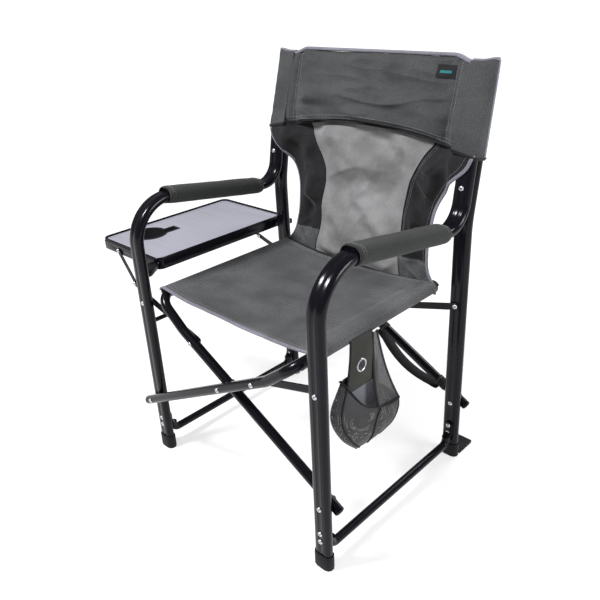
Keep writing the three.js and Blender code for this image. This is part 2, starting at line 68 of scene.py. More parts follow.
# ---- driving dimensions, as in the CAD part ----
LEG_X, FRAME_SHIFT, FRONT_Y, REAR_Y = 280, 21, -233, 229
KNEE_Y, KNEE_Z, RECLINE, TOP_Z = 219, 600, 0.17, 905
ARM_DROP, ARM_Z, ARM_Y, PAD_END_Y, ARM_END_Z = 0.156, 645, -142, 140, 735
OVAL_W, OVAL_T, ROUND_R, BAR_R = 40, 20, 11, 9.5
PIVOT_Z, OPEN_ANGLE, RAIL_REACH, RAIL_RISE = 153, math.radians(28.4), 583, 17
LINK_REACH, OVERHANG = 126.6, 27
KNUCKLE_X, KNUCKLE_Z = -420, 398
ARM_BENDS, KNEE_BEND, BAR_BEND, TUBE_BENDS = (95, 56), 260, 14, (90, 40, 40, 90)
HALF_TUBE = LEG_X / math.cos(OPEN_ANGLE)
RAIL_X = RAIL_REACH * math.cos(OPEN_ANGLE) - RAIL_RISE * math.sin(OPEN_ANGLE) - LEG_X
RAIL_Z = PIVOT_Z + RAIL_REACH * math.sin(OPEN_ANGLE) + RAIL_RISE * math.cos(OPEN_ANGLE)
TUBE_STEP = OVAL_T / 2 + ROUND_R + 1
TILT = math.atan(RECLINE)
SIDES = (("left", -1), ("right", 1))
ALONG_X, ALONG_Y, UP, DOWN = (1, 0, 0), (0, 1, 0), (0, 0, 1), (0, 0, -1)


def middle(node):
    low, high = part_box(node)
    return (low + high) / 2


FEET = [middle(f"{word}_front_foot") for word, _ in SIDES]
ORIGIN = Vector(((FEET[0].x + FEET[1].x) / 2, (FEET[0].y + FEET[1].y) / 2 - FRONT_Y * MM, 0))
BODY = {node: body for body, nodes in frame["record"]["behaviour"]["bodies"].items() for node in nodes}


def at(x, y, z):
    return Vector((ORIGIN.x + x * MM, ORIGIN.y + y * MM, z * MM))


def vec(x, y, z):
    return np.array((x, y, z), float)


def shares(count):
    """Evenly spaced numbers from 0 to 1."""
    return np.linspace(0, 1, count)


def box_mm(node):
    """The low and high corners of a CAD node, in the chair's frame."""
    return [(np.array(corner) - np.array(ORIGIN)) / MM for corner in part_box(node)]


def shift_of(side):
    return -side * FRAME_SHIFT / 2


def upright_y(z):
    return REAR_Y + (KNEE_Y - REAR_Y) * z / KNEE_Z if z < KNEE_Z else KNEE_Y + RECLINE * (z - KNEE_Z)


def arm_z(y):
    return ARM_Z - ARM_DROP * (y - ARM_Y)


# ---- materials ----
BAND_SHARE = 6.2  # sets a wave texture's bands about two yarn widths apart, so a yarn and its gap


def fill(node, values):
    for name, value in values.items():
        node.inputs[name].default_value = value


def node_tree(name, values):
    material = bpy.data.materials.new(name)
    material.use_nodes = True
    nodes = material.node_tree.nodes
    shader = nodes["Principled BSDF"]
    fill(shader, values)
    return material, nodes, material.node_tree.links, shader


def add_node(nodes, kind, values=(), **settings):
    node = nodes.new(kind)
    for key, value in settings.items():
        setattr(node, key, value)
    fill(node, dict(values))
    return node


def ramp(nodes, links, source, low, high, stops=(0.3, 0.7)):
    node = nodes.new("ShaderNodeValToRGB")
    for element, stop, colour in zip(node.color_ramp.elements, stops, (low, high)):
        element.position = stop
        element.color = (*colour, 1)
    links.new(source, node.inputs["Fac"])
    return node.outputs["Color"]


def place(nodes, links, scale=(1, 1, 1)):
    coords = nodes.new("ShaderNodeTexCoord")
    mapping = add_node(nodes, "ShaderNodeMapping", {"Scale": scale})
    links.new(coords.outputs["Object"], mapping.inputs["Vector"])
    return mapping.outputs["Vector"]


def grain(nodes, links, spot, scale, detail):
    texture = add_node(nodes, "ShaderNodeTexNoise", {"Scale": scale, "Detail": detail})
    links.new(spot, texture.inputs["Vector"])
    return texture.outputs["Fac"]


def raise_by(nodes, links, shader, height, strength, distance):
    bump = add_node(nodes, "ShaderNodeBump", {"Strength": strength, "Distance": distance})
    links.new(height, bump.inputs["Height"])
    links.new(bump.outputs["Normal"], shader.inputs["Normal"])


def darker(colour, share):
    return tuple(c * share for c in colour)


def woven(name, colour, yarn=1.5, contrast=0.22, depth=0.25, across=("X", "Z"), tone_and_fold_shade=0.22, ribs=None):
    """Plain weave: two sets of yarns, heathered colour, and soft darker blotches that are partly random
    tone and partly painted shade of folds. yarn is the width of one yarn, and ribs is the direction and
    width of wider bands."""
    material, nodes, links, shader = node_tree(name, {
        "Roughness": 0.86, "Specular IOR Level": 0.25, "Sheen Weight": 0.06, "Sheen Roughness": 0.45})
    spot = place(nodes, links)

    def bands(direction, size, distortion):
        wave = add_node(nodes, "ShaderNodeTexWave", {
            "Distortion": distortion, "Scale": 1 / (size * MM * BAND_SHARE)}, bands_direction=direction)
        links.new(spot, wave.inputs["Vector"])
        return wave.outputs["Fac"]

    def multiply(first, second, share):
        mix = add_node(nodes, "ShaderNodeMix", data_type="RGBA", blend_type="MULTIPLY")
        mix.inputs[0].default_value = share
        links.new(first, mix.inputs[6])
        links.new(second, mix.inputs[7])
        return mix.outputs[2]
    yarns = add_node(nodes, "ShaderNodeMath", operation="MULTIPLY")
    for n, direction in enumerate(across):
        links.new(bands(direction, yarn, 0.6), yarns.inputs[n])
    # the second noise makes large soft blotches: partly random tone, partly painted shade standing in for
    # folds
    heather, tone_and_fold_shade_noise = grain(nodes, links, spot, 420.0, 3.0), grain(nodes, links, spot, 11.0, 5.0)
    light = tuple(min(1, c * (1 + contrast)) for c in colour)
    fine = ramp(nodes, links, heather, darker(colour, 1 - contrast), light, (0.35, 0.65))
    # painted fold shade mixed with random tone: the blotches darken the cloth's colour
    wide = ramp(nodes, links, tone_and_fold_shade_noise, (1 - tone_and_fold_shade,) * 3, (1.0,) * 3, (0.32, 0.62))
    tint = multiply(multiply(fine, wide, 1), yarns.outputs[0], 0.18)
    if ribs:
        lines = ramp(nodes, links, bands(*ribs, 1.2), (0.72,) * 3, (1.0,) * 3, (0.1, 0.6))
        tint = multiply(tint, lines, 0.4)
    links.new(tint, shader.inputs["Base Color"])
    raise_by(nodes, links, shader, yarns.outputs[0], depth, 0.0005)
    return material


def lacquered(name, colour, metallic, roughness, spread=0.08, patchy=38.0, coat=0.0):
    """Painted or plated metal: slightly uneven gloss, with fine orange peel."""
    material, nodes, links, shader = node_tree(name, {
        "Metallic": metallic, "Specular IOR Level": 0.16, "Coat Weight": coat, "Coat Roughness": 0.12})
    spot = place(nodes, links)
    patches, peel = grain(nodes, links, spot, patchy, 5.0), grain(nodes, links, spot, 900.0, 2.0)
    links.new(ramp(nodes, links, patches, darker(colour, 0.82), colour), shader.inputs["Base Color"])
    gloss = add_node(nodes, "ShaderNodeMapRange", {
        "To Min": roughness - spread / 2, "To Max": roughness + spread / 2})
    links.new(patches, gloss.inputs["Value"])
    links.new(gloss.outputs["Result"], shader.inputs["Roughness"])
    raise_by(nodes, links, shader, peel, 0.05, 0.0002)
    return material


def brushed(name, colour, along=(6, 900, 900)):
    """Satin metal with fine lines along one way."""
    material, nodes, links, shader = node_tree(name, {"Metallic": 0.35, "Roughness": 0.42})
    lines = grain(nodes, links, place(nodes, links, along), 1.0, 3.0)
    links.new(ramp(nodes, links, lines, darker(colour, 0.8), colour), shader.inputs["Base Color"])
    raise_by(nodes, links, shader, lines, 0.12, 0.0003)
    return material


def netting(name, colour, pitch=4.6, strand=0.5):
    """Knitted mesh in the plane along the chair's side: cells with `strand` of their width in yarn, and
    the rest cut away by alpha."""
    material, nodes, links, shader = node_tree(name, {"Roughness": 0.6, "Sheen Weight": 0.2})
    cells = add_node(nodes, "ShaderNodeTexVoronoi", voronoi_dimensions="2D", feature="DISTANCE_TO_EDGE")
    fill(cells, {"Scale": 1 / (pitch * MM), "Randomness": 0.25})
    parts, plane = nodes.new("ShaderNodeSeparateXYZ"), nodes.new("ShaderNodeCombineXYZ")
    links.new(place(nodes, links), parts.inputs["Vector"])
    links.new(parts.outputs["Y"], plane.inputs["X"])
    links.new(parts.outputs["Z"], plane.inputs["Y"])
    links.new(plane.outputs["Vector"], cells.inputs["Vector"])
    solid = add_node(nodes, "ShaderNodeMath", operation="LESS_THAN")
    solid.inputs[1].default_value = strand / 2
    links.new(cells.outputs["Distance"], solid.inputs[0])
    links.new(solid.outputs[0], shader.inputs["Alpha"])
    colours = ramp(nodes, links, cells.outputs["Distance"], colour, darker(colour, 0.6), (0.0, 0.3))
    links.new(colours, shader.inputs["Base Color"])
    return material


FRAME = lacquered("frame_lacquer", (0.006, 0.0057, 0.009), 0.35, 0.20, coat=0.12)
LINK = lacquered("link_lacquer", (0.009, 0.0085, 0.012), 0.3, 0.34, coat=0.06)
STEEL = lacquered("rivet_steel", (0.62, 0.62, 0.65), 0.95, 0.32)
DARK = lacquered("rivet_core", (0.05, 0.05, 0.06), 0.6, 0.5)
CAP = lacquered("moulded_cap", (0.008, 0.008, 0.010), 0.0, 0.55, 0.16, 60.0)
TABLE = brushed("table_face", (0.42, 0.42, 0.49))
# the blotch settings below paint fold shade into these cloths' colours as darker blotches, mixed with
# random tone
FABRIC = woven("fabric_grey", (0.056, 0.058, 0.060), tone_and_fold_shade=0.3)
SEAT = woven("seat_grey", (0.092, 0.094, 0.098), 1.8, across=("X", "Y"), tone_and_fold_shade=0.4, ribs=("Y", 5.0))
PAD = woven("pad_grey", (0.027, 0.028, 0.028), across=("Y", "Z"), tone_and_fold_shade=0.2)
SIDE = woven("fabric_charcoal", (0.013, 0.013, 0.015), contrast=0.3, tone_and_fold_shade=0.35)
LIGHT = woven("fabric_light", (0.245, 0.245, 0.25), contrast=0.1, depth=0.2, tone_and_fold_shade=0.42)
BINDING = woven("binding_lavender", (0.20, 0.195, 0.235), 1.1, 0.16)
LINING = woven("lining_black", (0.012, 0.012, 0.014), 1.2, 0.3, across=("Y", "Z"))
WEBBING = woven("webbing_black", (0.014, 0.014, 0.016), 2.2, 0.35, depth=0.6, across=("X", "Y"))
OLIVE = woven("pouch_olive", (0.036, 0.038, 0.032), 1.4, 0.25, across=("Y", "Z"))
PALE = woven("pouch_lining", (0.18, 0.18, 0.21), 1.3, 0.12, across=("Y", "Z"))
MESH = netting("pouch_mesh", (0.012, 0.012, 0.015))
THREAD = woven("thread_grey", (0.24, 0.24, 0.25), 0.8, 0.2)
TEAL = woven("label_teal", (0.02, 0.16, 0.17), 0.8, 0.2)


# ---- meshes ----
def add_object(name, data):
    item = bpy.data.objects.new(name, data)
    bpy.context.scene.collection.objects.link(item)
    return item


def build(name, points, faces, material, sharp=38, more=()):
    """A mesh object from millimetre points, with outward normals and creases above `sharp` degrees."""
    mesh = bpy.data.meshes.new(name)
    mesh.from_pydata([at(*p) for p in points], [], [tuple(f) for f in faces])
    work = bmesh.new()
    work.from_mesh(mesh)
    bmesh.ops.remove_doubles(work, verts=work.verts, dist=1e-6)
    bmesh.ops.recalc_face_normals(work, faces=work.faces)
    work.to_mesh(mesh)
    work.free()
    for item in (material, *more):
        mesh.materials.append(item)
    mesh.shade_smooth()
    mesh.set_sharp_from_angle(angle=math.radians(sharp))
    return add_object(name, mesh)


def unit(v):
    return v / np.linalg.norm(v)


def distances(line):
    """How far along a polyline each of its points is."""
    return np.cumsum([0] + [np.linalg.norm(b - a) for a, b in zip(line, line[1:])])


def bent(corners, radii, step=5):
    """Points along straights and arcs through corners, as a tube bender makes them."""
    path = [corners[0]]
    for k in range(1, len(corners) - 1):
        inward = unit(corners[k] - corners[k - 1])
        outward = unit(corners[k + 1] - corners[k])
        turn = math.acos(np.clip(inward @ outward, -1, 1))
        start = corners[k] - inward * radii[k - 1] * math.tan(turn / 2)
        across = unit(outward - inward * (outward @ inward))
        count = max(2, round(math.degrees(turn) / step))
        for a in np.linspace(0, turn, count + 1):
            path.append(start + radii[k - 1] * (inward * math.sin(a) + across * (1 - math.cos(a))))
    path.append(corners[-1])
    return path


def sweep(path, section, sideways, grow=None):
    """Points and faces of a closed section carried along a path. grow(t) scales it, for t from 0 to 1."""
    path = [np.array(p, float) for p in path]
    last, lengths = len(path) - 1, distances(path)
    normal, points = np.array(sideways, float), []
    for k, p in enumerate(path):
        tangent = unit(path[min(k + 1, last)] - path[max(k - 1, 0)])
        normal = unit(normal - tangent * (normal @ tangent))
        other = np.cross(tangent, normal)
        size = grow(lengths[k] / lengths[-1]) if grow else 1
        points += [p + (normal * a + other * b) * size for a, b in section]
    return points, band(len(path), len(section), True, True)


def band(rings, around, first=False, last=False):
    """Faces round a stack of closed rings of points, with a cap on the first and last ring if asked."""
    faces = []
    for k in range(rings - 1):
        for n in range(around):
            m = (n + 1) % around
            faces.append((k * around + n, k * around + m, (k + 1) * around + m, (k + 1) * around + n))
    if first:
        faces.append(tuple(range(around))[::-1])
    if last:
        faces.append(tuple((rings - 1) * around + n for n in range(around)))
    return faces


def circle(radius, count=28):
    return [(radius * math.cos(a), radius * math.sin(a))
            for a in np.linspace(0, 2 * math.pi, count, endpoint=False)]


def oval(width, thick, half=12):
    """A closed outline with round ends, `width` by `thick`, whichever is larger."""
    if thick > width:
        return [(-b, a) for a, b in oval(thick, width, half)]
    r = thick / 2
    points = []
    for side in (1, -1):
        for a in np.linspace(-math.pi / 2, math.pi / 2, half):
            a += 0 if side > 0 else math.pi
            points.append((side * (width / 2 - r) + r * math.cos(a), r * math.sin(a)))
    return points


def closed_spline(controls, count):
    """Points along a smooth closed curve through a few controls."""
    controls = np.array(controls, float)
    size, points = len(controls), []
    for t in np.linspace(0, size, count, endpoint=False):
        k, f = int(t), t - int(t)
        a, b, c, d = (controls[(k + n) % size] for n in (-1, 0, 1, 2))
        points.append(0.5 * (2 * b + (c - a) * f + (2 * a - 5 * b + 4 * c - d) * f ** 2
                             + (3 * b - a - 3 * c + d) * f ** 3))
    return points


def ridged_oval():
    """The legs' section: a flat oval with two fine raised lines on each wide side."""
    r, half, lift = OVAL_T / 2, OVAL_W / 2 - OVAL_T / 2, 0.45
    points = []
    for side in (1, -1):
        for a in np.linspace(-math.pi / 2, math.pi / 2, 12):
            points.append((side * (half + r * math.cos(a)), side * r * math.sin(a)))
        for place in (1, -1):
            for across, up in ((1.1, 0), (0, lift), (-1.1, 0)):
                points.append((side * (place * 6.5 + across), side * (r + up)))
    return points


def lathe(centre, axis, profile, count=24):
    """Points and faces of a turned piece. profile holds (radius, distance along axis)."""
    axis = unit(np.array(axis, float))
    first = unit(np.cross(axis, UP if abs(axis[2]) < 0.9 else ALONG_X))
    second = np.cross(axis, first)
    points = [centre + axis * along + first * a + second * b
              for r, along in profile for a, b in circle(r, count)]
    return points, band(len(profile), count, True, True)


def skin(surface, nu, nv, thick):
    """Points and faces of a closed sheet: surface(u, v) is its front, and it is `thick` deep behind."""
    grid = np.array([[surface(u, v) for u in shares(nu)] for v in shares(nv)])
    du, dv = np.gradient(grid, axis=1), np.gradient(grid, axis=0)
    normals = np.cross(du, dv)
    normals /= np.linalg.norm(normals, axis=2, keepdims=True)
    back = grid - normals * thick
    points = [*grid.reshape(-1, 3), *back.reshape(-1, 3)]
    size, faces = nu * nv, []
    for j in range(nv - 1):
        for i in range(nu - 1):
            a = j * nu + i
            quad = (a, a + 1, a + nu + 1, a + nu)
            faces += [quad, tuple(q + size for q in reversed(quad))]
    rim = (list(range(nu)) + [j * nu + nu - 1 for j in range(1, nv)]
           + [(nv - 1) * nu + i for i in range(nu - 2, -1, -1)] + [j * nu for j in range(nv - 2, 0, -1)])
    for a, b in zip(rim, rim[1:] + rim[:1]):
        faces.append((a, a + size, b + size, b))
    return points, faces


def curve_through(controls):
    """A smooth function through a few (place, value) pairs, by cubic pieces that share their slopes."""
    xs, ys = np.array(controls, float).T
    slopes = np.gradient(ys, xs)

    def value(x):
        x = min(max(x, xs[0]), xs[-1])
        k = min(int(np.searchsorted(xs, x, side="right")) - 1, len(xs) - 2)
        h = xs[k + 1] - xs[k]
        t = (x - xs[k]) / h
        return ((2 * t ** 3 - 3 * t ** 2 + 1) * ys[k] + (t ** 3 - 2 * t ** 2 + t) * h * slopes[k]
                + (3 * t ** 2 - 2 * t ** 3) * ys[k + 1] + (t ** 3 - t ** 2) * h * slopes[k + 1])
    return value


def wrinkle(x, z, wide, high, seed=0.0):
    """Smooth noise from -1 to 1 whose folds are `wide` by `high` millimetres."""
    return noise.noise(Vector((x / wide, z / high, seed)))


def ease(low, high, x):
    t = min(max((x - low) / (high - low), 0), 1)
    return t * t * (3 - 2 * t)


SEAM, FINE_SEAM = (5, 3.6, 0.6), (5, 3.4, 0.55)  # stitch spacing, length and thickness
THREAD_SIDES = 6


def stitches(name, line, out, spacing, long, thick, lift=0.25):
    """A row of sewn stitches along a polyline, each one a small bar whose ends sink into the cloth."""
    line = [np.array(p, float) for p in line]
    lengths = distances(line)
    spots = np.arange(spacing / 2, lengths[-1] - long / 2, spacing)
    coords = [np.interp(spots, lengths, [p[k] for p in line]) for k in range(3)]
    ahead = [np.interp(spots + 0.5, lengths, [p[k] for p in line]) for k in range(3)]
    points, faces = [], []
    out = unit(np.array(out, float))
    for k in range(len(spots)):
        p = np.array([c[k] for c in coords])
        along = unit(np.array([c[k] for c in ahead]) - p)
        wide = np.cross(along, out)
        base, rings = len(points), ((-0.5, 0.35), (-0.2, 1), (0.2, 1), (0.5, 0.35))
        for share, size in rings:
            centre = p + along * share * long + out * lift
            points += [centre + wide * a + out * b for a, b in circle(thick * size, THREAD_SIDES)]
        faces += [tuple(base + i for i in ring) for ring in band(len(rings), THREAD_SIDES, True, True)]
    return build(name, points, faces, THREAD)


def onto(tree, point, direction, reach=60):
    """Where a line from in front of a surface first meets it, in millimetres."""
    direction = Vector(direction).normalized()
    start = at(*point) - direction * reach * MM
    hit = tree.ray_cast(start, direction, 2 * reach * MM)[0]
    return None if hit is None else np.array((hit - ORIGIN) / MM)


def sewn(name, tree, starts, aim):
    """A row of stitches where lines from `starts` along `aim` meet a surface."""
    hits = [onto(tree, start, aim) for start in starts]
    return stitches(name, [p for p in hits if p is not None], -np.array(aim, float), *SEAM)


def tree_of(piece):
    return BVHTree.FromObject(piece, bpy.context.evaluated_depsgraph_get())


def bake(piece):
    """The piece's modifiers, applied to its mesh."""
    graph = bpy.context.evaluated_depsgraph_get()
    final = bpy.data.meshes.new_from_object(piece.evaluated_get(graph))
    piece.modifiers.clear()
    piece.data = final
    return piece


def thicken(piece, thick):
    """Gives an open surface of cloth its thickness, towards its inside."""
    cloth = piece.modifiers.new("cloth_thickness", "SOLIDIFY")
    cloth.thickness, cloth.offset = thick * MM, -1
    return bake(piece)


# ---- rivets ----
HEAD = ((0, 1.0), (1.7, 1.0), (2.0, 1.9), (3.3, 2.2), (4.7, 1.7), (5.5, 0.5), (5.5, 0))
HEAD_WIDE, HEAD_DEEP, SHANK_R, DIMPLE_R = 11, 2, 3.1, 1.75
WASHER_R, WASHER_FACES = 7, (3.6, 4.8)


def rivet(name, centre, axis, low, high, body, ends=(-1, 1)):
    """A shank from low to high along axis through centre, with a dimpled head on each of `ends`."""
    axis = unit(np.array(axis, float))
    points, faces = lathe(centre, axis, ((SHANK_R, low), (SHANK_R, high)), 16)
    for end in ends:
        foot = centre + axis * (high if end > 0 else low)
        more, rings = lathe(foot, axis * end, HEAD)
        faces += [tuple(len(points) + i for i in ring) for ring in rings]
        points += more
    piece = build(name, points, faces, STEEL, 50, more=(DARK,))
    spot = Vector(at(*centre))
    for face in piece.data.polygons:
        away = face.center - spot
        along = away.dot(Vector(axis))
        if (away - Vector(axis) * along).length < DIMPLE_R * MM:
            face.material_index = 1
    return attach(piece, body)


def rivets():
    for node in [n for n in BODY if n.endswith(("_pivot", "_rivet")) or n.startswith("centre_pivot")]:
        low, high = box_mm(node)
        centre, half = (low + high) / 2, (high[1] - low[1]) / 2
        if node.endswith("arm_rivet"):
            axis = vec(0, math.cos(TILT), -math.sin(TILT))
            reach = (half - HEAD_WIDE / 2 * math.sin(TILT)) / math.cos(TILT) - HEAD_DEEP
            piece = rivet(f"{node}_domed", centre, axis, -reach, reach, BODY[node])
        elif node.endswith("link_tube_rivet"):
            inside = 1 if "front" in node else -1
            span = (-half, half - HEAD_DEEP) if inside > 0 else (-half + HEAD_DEEP, half)
            piece = rivet(f"{node}_domed", centre, ALONG_Y, *span, BODY[node], (inside,))
        else:
            half -= HEAD_DEEP
            piece = rivet(f"{node}_domed", centre, ALONG_Y, -half, half, BODY[node])
            if "rear_link_leg" in node:
                washer = lathe(centre, ALONG_Y, [(WASHER_R, face - half) for face in WASHER_FACES])
                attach(build(f"{node}_washer", *washer, LINK), BODY[node])
        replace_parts(piece, node)


def spare_rivets():
    """The rivets that the CAD leaves out, on side bars and brace knuckles, and where links meet tubes."""
    bar_outer, bar_inner = 10.2, 14.6
    for word, side in SIDES:
        for z in (70, 90):
            for end, y, span in (("front", FRONT_Y, (-bar_outer, bar_inner)),
                                 ("rear", upright_y(z), (-bar_inner, bar_outer))):
                rivet(f"{word}_bar_rivet_{end}_{z}", vec(side * LEG_X, y + shift_of(side), z), ALONG_Y,
                      *span, f"{word}_frame")
        # heads on the outer faces of the tubes, where the links are riveted
        reach = HALF_TUBE + LINK_REACH
        x = -side * LEG_X + side * reach * math.cos(OPEN_ANGLE)
        z = PIVOT_Z + reach * math.sin(OPEN_ANGLE)
        tube = "b" if side < 0 else "a"
        rows = tube_rows(tube)
        for end, outside in (("front", -1), ("rear", 1)):
            centre = vec(x, rows[end], z)
            span = (-ROUND_R - 0.3, 0) if outside < 0 else (0, ROUND_R + 0.3)
            rivet(f"{word}_{end}_link_tube_head", centre, ALONG_Y, *span, f"x_tube_{tube}", (outside,))
    for word, out in (("front", -1), ("rear", 1)):
        low, high = box_mm(f"table_{word}_lower_brace")
        knee = vec(KNUCKLE_X, low[1] if out < 0 else high[1], KNUCKLE_Z)
        span = (-0.2, 5.9) if out < 0 else (-5.9, 0.2)
        rivet(f"table_{word}_knuckle", knee, ALONG_Y, *span, "lower_braces")


# ---- frame ----
def tube_rows(tube):
    """The y of a crossing tube's front and rear bars. Tube A starts on the left frame, in front of it."""
    side = -1 if tube == "a" else 1
    away = shift_of(side) + side * TUBE_STEP
    return {"front": FRONT_Y + away, "rear": upright_y(PIVOT_Z) + away}


def side_frames():
    section, foot = ridged_oval(), 6.3
    # the armrest's last stretch lies along the upright's front, and meets the sloping part at `corner`
    before = KNEE_Y - (OVAL_T + 0.6) / math.cos(TILT)
    corner = (before + RECLINE * (ARM_Z + ARM_DROP * ARM_Y - KNEE_Z)) / (1 + RECLINE * ARM_DROP)
    for word, side in SIDES:
        shift, x = shift_of(side), side * LEG_X
        arm = bent([vec(x, FRONT_Y + shift, foot), vec(x, FRONT_Y + shift, arm_z(FRONT_Y)),
                    vec(x, corner + shift, arm_z(corner)),
                    vec(x, before + RECLINE * (ARM_END_Z - KNEE_Z) + shift, ARM_END_Z)], ARM_BENDS, 4)
        leg = build(f"{word}_leg_and_arm", *sweep(arm, section, ALONG_X), FRAME, 70)
        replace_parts(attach(leg, f"{word}_frame"), f"{word}_front_leg")
        rear = bent([vec(x, upright_y(foot) + shift, foot), vec(x, KNEE_Y + shift, KNEE_Z),
                     vec(x, upright_y(TOP_Z) + shift, TOP_Z)], [KNEE_BEND], 2)
        post = build(f"{word}_upright", *sweep(rear, section, ALONG_X), FRAME, 70)
        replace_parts(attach(post, f"{word}_frame"), f"{word}_rear_upright")
        gap = OVAL_T / 2 + 0.3
        side_bar(word, x, FRONT_Y + shift + gap, upright_y(100) + shift - gap - 0.3)


def side_bar(word, x, front, rear):
    """A round bar whose upturned ends are pressed flat against the legs."""
    away, low, rise = 10.1, 40, 62
    path = bent([vec(x, front + away, rise), vec(x, front + away, low), vec(x, rear - away, low),
                 vec(x, rear - away, rise)], [BAR_BEND] * 2, 7.5)
    bar = build(f"{word}_low_bar", *sweep(path, circle(BAR_R), ALONG_X), FRAME)
    steps, around, plate_z, plate_tall = 14, 24, 54, 46
    for end, face, turn in (("front", front, 1), ("rear", rear, -1)):
        points = []
        for t in shares(steps):
            flat = ease(0, 0.45, t)
            tip = 1 if t < 0.86 else math.sqrt(max(0.02, 1 - ((t - 0.86) / 0.14) ** 2))
            wide = (BAR_R + (12 - BAR_R) * flat) * tip
            thick = BAR_R + (2 - BAR_R) * flat
            y = face + turn * (away + (2.2 - away) * flat)
            points += [vec(x + wide * a, y + thick * b, plate_z + plate_tall * t)
                       for a, b in circle(1, around)]
        plate = build(f"{word}_bar_end_{end}", points, band(steps, around, True, True), FRAME)
        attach(plate, f"{word}_frame")
    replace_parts(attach(bar, f"{word}_frame"), f"{word}_side_bar")


def crossing_tubes():
    for tube, side in (("a", -1), ("b", 1)):
        along = vec(-side * math.cos(OPEN_ANGLE), 0, math.sin(OPEN_ANGLE))
        up = vec(side * math.sin(OPEN_ANGLE), 0, math.cos(OPEN_ANGLE))
        rows = tube_rows(tube)

        def spot(s, rise, y):
            return vec(side * LEG_X, y, PIVOT_Z) + along * s + up * rise
        bar = ((-OVERHANG, 0), (RAIL_REACH - 100, 0), (RAIL_REACH, RAIL_RISE))
        corners = [spot(s, rise, rows["front"]) for s, rise in bar]
        corners += [spot(s, rise, rows["rear"]) for s, rise in bar[::-1]]
        shape = sweep(bent(corners, TUBE_BENDS), circle(ROUND_R), up)
        piece = build(f"crossing_tube_{tube}", *shape, FRAME)
        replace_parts(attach(piece, f"x_tube_{tube}"), f"x_tube_{tube}")


def refine_cad_nodes():
    """CAD nodes that stay get softened edges and their own finish."""
    finish = {"foot": CAP, "plug": CAP, "link": LINK, "brace": LINK, "bracket": LINK, "table_rim": FRAME,
              "table_top": TABLE, "cup_ring": CAP}
    well_rounded, sharp = ("foot", "bracket", "table_rim"), math.radians(40)
    for name, node in frame["nodes"].items():
        if node.hide_render:
            continue
        kind = next((k for k in finish if k in name), None)
        if kind is None:
            continue
        node.data.materials.clear()
        node.data.materials.append(finish[kind])
        weld = node.modifiers.new("weld", "WELD")
        weld.merge_threshold = 1e-5
        soften = node.modifiers.new("soften", "BEVEL")
        soften.width = (1.2 if kind in well_rounded else 0.6) * MM
        soften.segments = 3
        soften.limit_method = "ANGLE"
        soften.angle_limit = sharp
        node.data.shade_smooth()
        node.data.set_sharp_from_angle(angle=sharp)


# ---- seat ----
SLEEVE_R, SAG_Z, SEAT_FRONT, SEAT_REAR = ROUND_R + 2.9, 443.0, -205, 192


def seat_line():
    """Cross-section of the sling: one sleeve's underside, the rail, the sag, and the same mirrored."""
    wrap = [(RAIL_X + SLEEVE_R * math.cos(a), RAIL_Z + SLEEVE_R * math.sin(a))
            for a in np.radians(np.linspace(-165, 95, 40))]
    span = [(x, sag(x)) for x in np.linspace(RAIL_X - 6, 0, 46)]
    half = wrap + span[1:]
    return half, [(-x, z) for x, z in half[::-1]][1:]


def sag(x):
    return SAG_Z + (RAIL_Z + SLEEVE_R - SAG_Z) * (abs(x) / RAIL_X) ** 2.4


def seat():
    right, left = seat_line()
    line = np.array((right + left)[::-1])
    front, rear, rows = SEAT_FRONT, SEAT_REAR, 46

    def surface(u, v):
        k = u * (len(line) - 1)
        low = min(int(k), len(line) - 2)
        x, z = line[low] + (line[low + 1] - line[low]) * (k - low)
        inner = max(0, 1 - (x / RAIL_X) ** 2) if abs(x) < RAIL_X else 0
        y = front + 5 * inner + (rear - front - 5 * inner) * v
        z -= 2.5 * inner * math.sin(math.pi * v)
        z += inner * 8 * wrinkle(x, y, 170, 38, 3) + inner * 1.4 * wrinkle(x, y, 40, 22, 9)
        near_seam = math.exp(-((abs(x) - (RAIL_X - 36)) / 16) ** 2)
        z += 0.9 * near_seam * wrinkle(x, y, 40, 16, 6)
        return (x, y, z)
    sling = build("seat_sling", *skin(surface, len(line), rows, 2.4), SEAT, 60)
    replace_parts(sling, "seat_left", "seat_right")
    tree = tree_of(sling)
    extras = []
    # bound front and rear edges
    for word, y, material in (("front", front, BINDING), ("rear", rear, SIDE)):
        v = 0 if y == front else 1
        path = [np.array(surface(u, v)) - vec(0, 0, 1.2) for u in np.linspace(0.17, 0.83, 90)]
        extras.append(build(f"seat_{word}_binding", *sweep(path, oval(9, 4.4, 7), ALONG_Y), material))
    # double rows of stitches beside each rail, and rows along the bound edges, cast from above
    above = 470
    for word, side in SIDES:
        for n, inset in enumerate((26, 33)):
            starts = [(side * (RAIL_X - inset), y, above) for y in np.linspace(front + 8, rear - 8, 60)]
            extras.append(sewn(f"seat_{word}_stitch_{n}", tree, starts, DOWN))
    for n, (y, bow) in enumerate(((front + 9, 5), (rear - 9, 0), (rear - 15, 0))):
        starts = [(x, y + bow * (1 - (x / RAIL_X) ** 2), above)
                  for x in np.linspace(-RAIL_X + 4, RAIL_X - 4, 60)]
        extras.append(sewn(f"seat_cross_stitch_{n}", tree, starts, DOWN))
    for piece in (sling, *extras):
        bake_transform(piece)
    width = distances(line)[-1] * MM


# ---- backrest ----
NORMAL = unit(vec(0, -1, RECLINE))  # out of the backrest's front
SEAM_Z, SEAM_ARCH, HEADER_TOP, HEADER_X, STITCH_X = 766, 33, 919, 252, 224
TUNNEL_TOP, TUNNEL_DEEP, PANEL_LOW, TAIL_Z = 909, 15, 434, 498
HEADER_SWELL, OVER_TUBE = 20, 22.5  # how far the cloth stands forward over the armrest tubes' tops
CAST = 25  # how far in front of the backrest the lines start that find the header's surface


def back_point(x, z, out=0.0):
    """A point of the backrest's plane, `out` in front of it. The plane is as skewed as the frames are."""
    base = vec(x, KNEE_Y + RECLINE * (z - KNEE_Z) - FRAME_SHIFT / 2 * x / LEG_X, z)
    return base + NORMAL * out


def seam_z(x):
    """The arched seam along the header's lower edge."""
    return SEAM_Z - SEAM_ARCH * (x / 290) ** 2


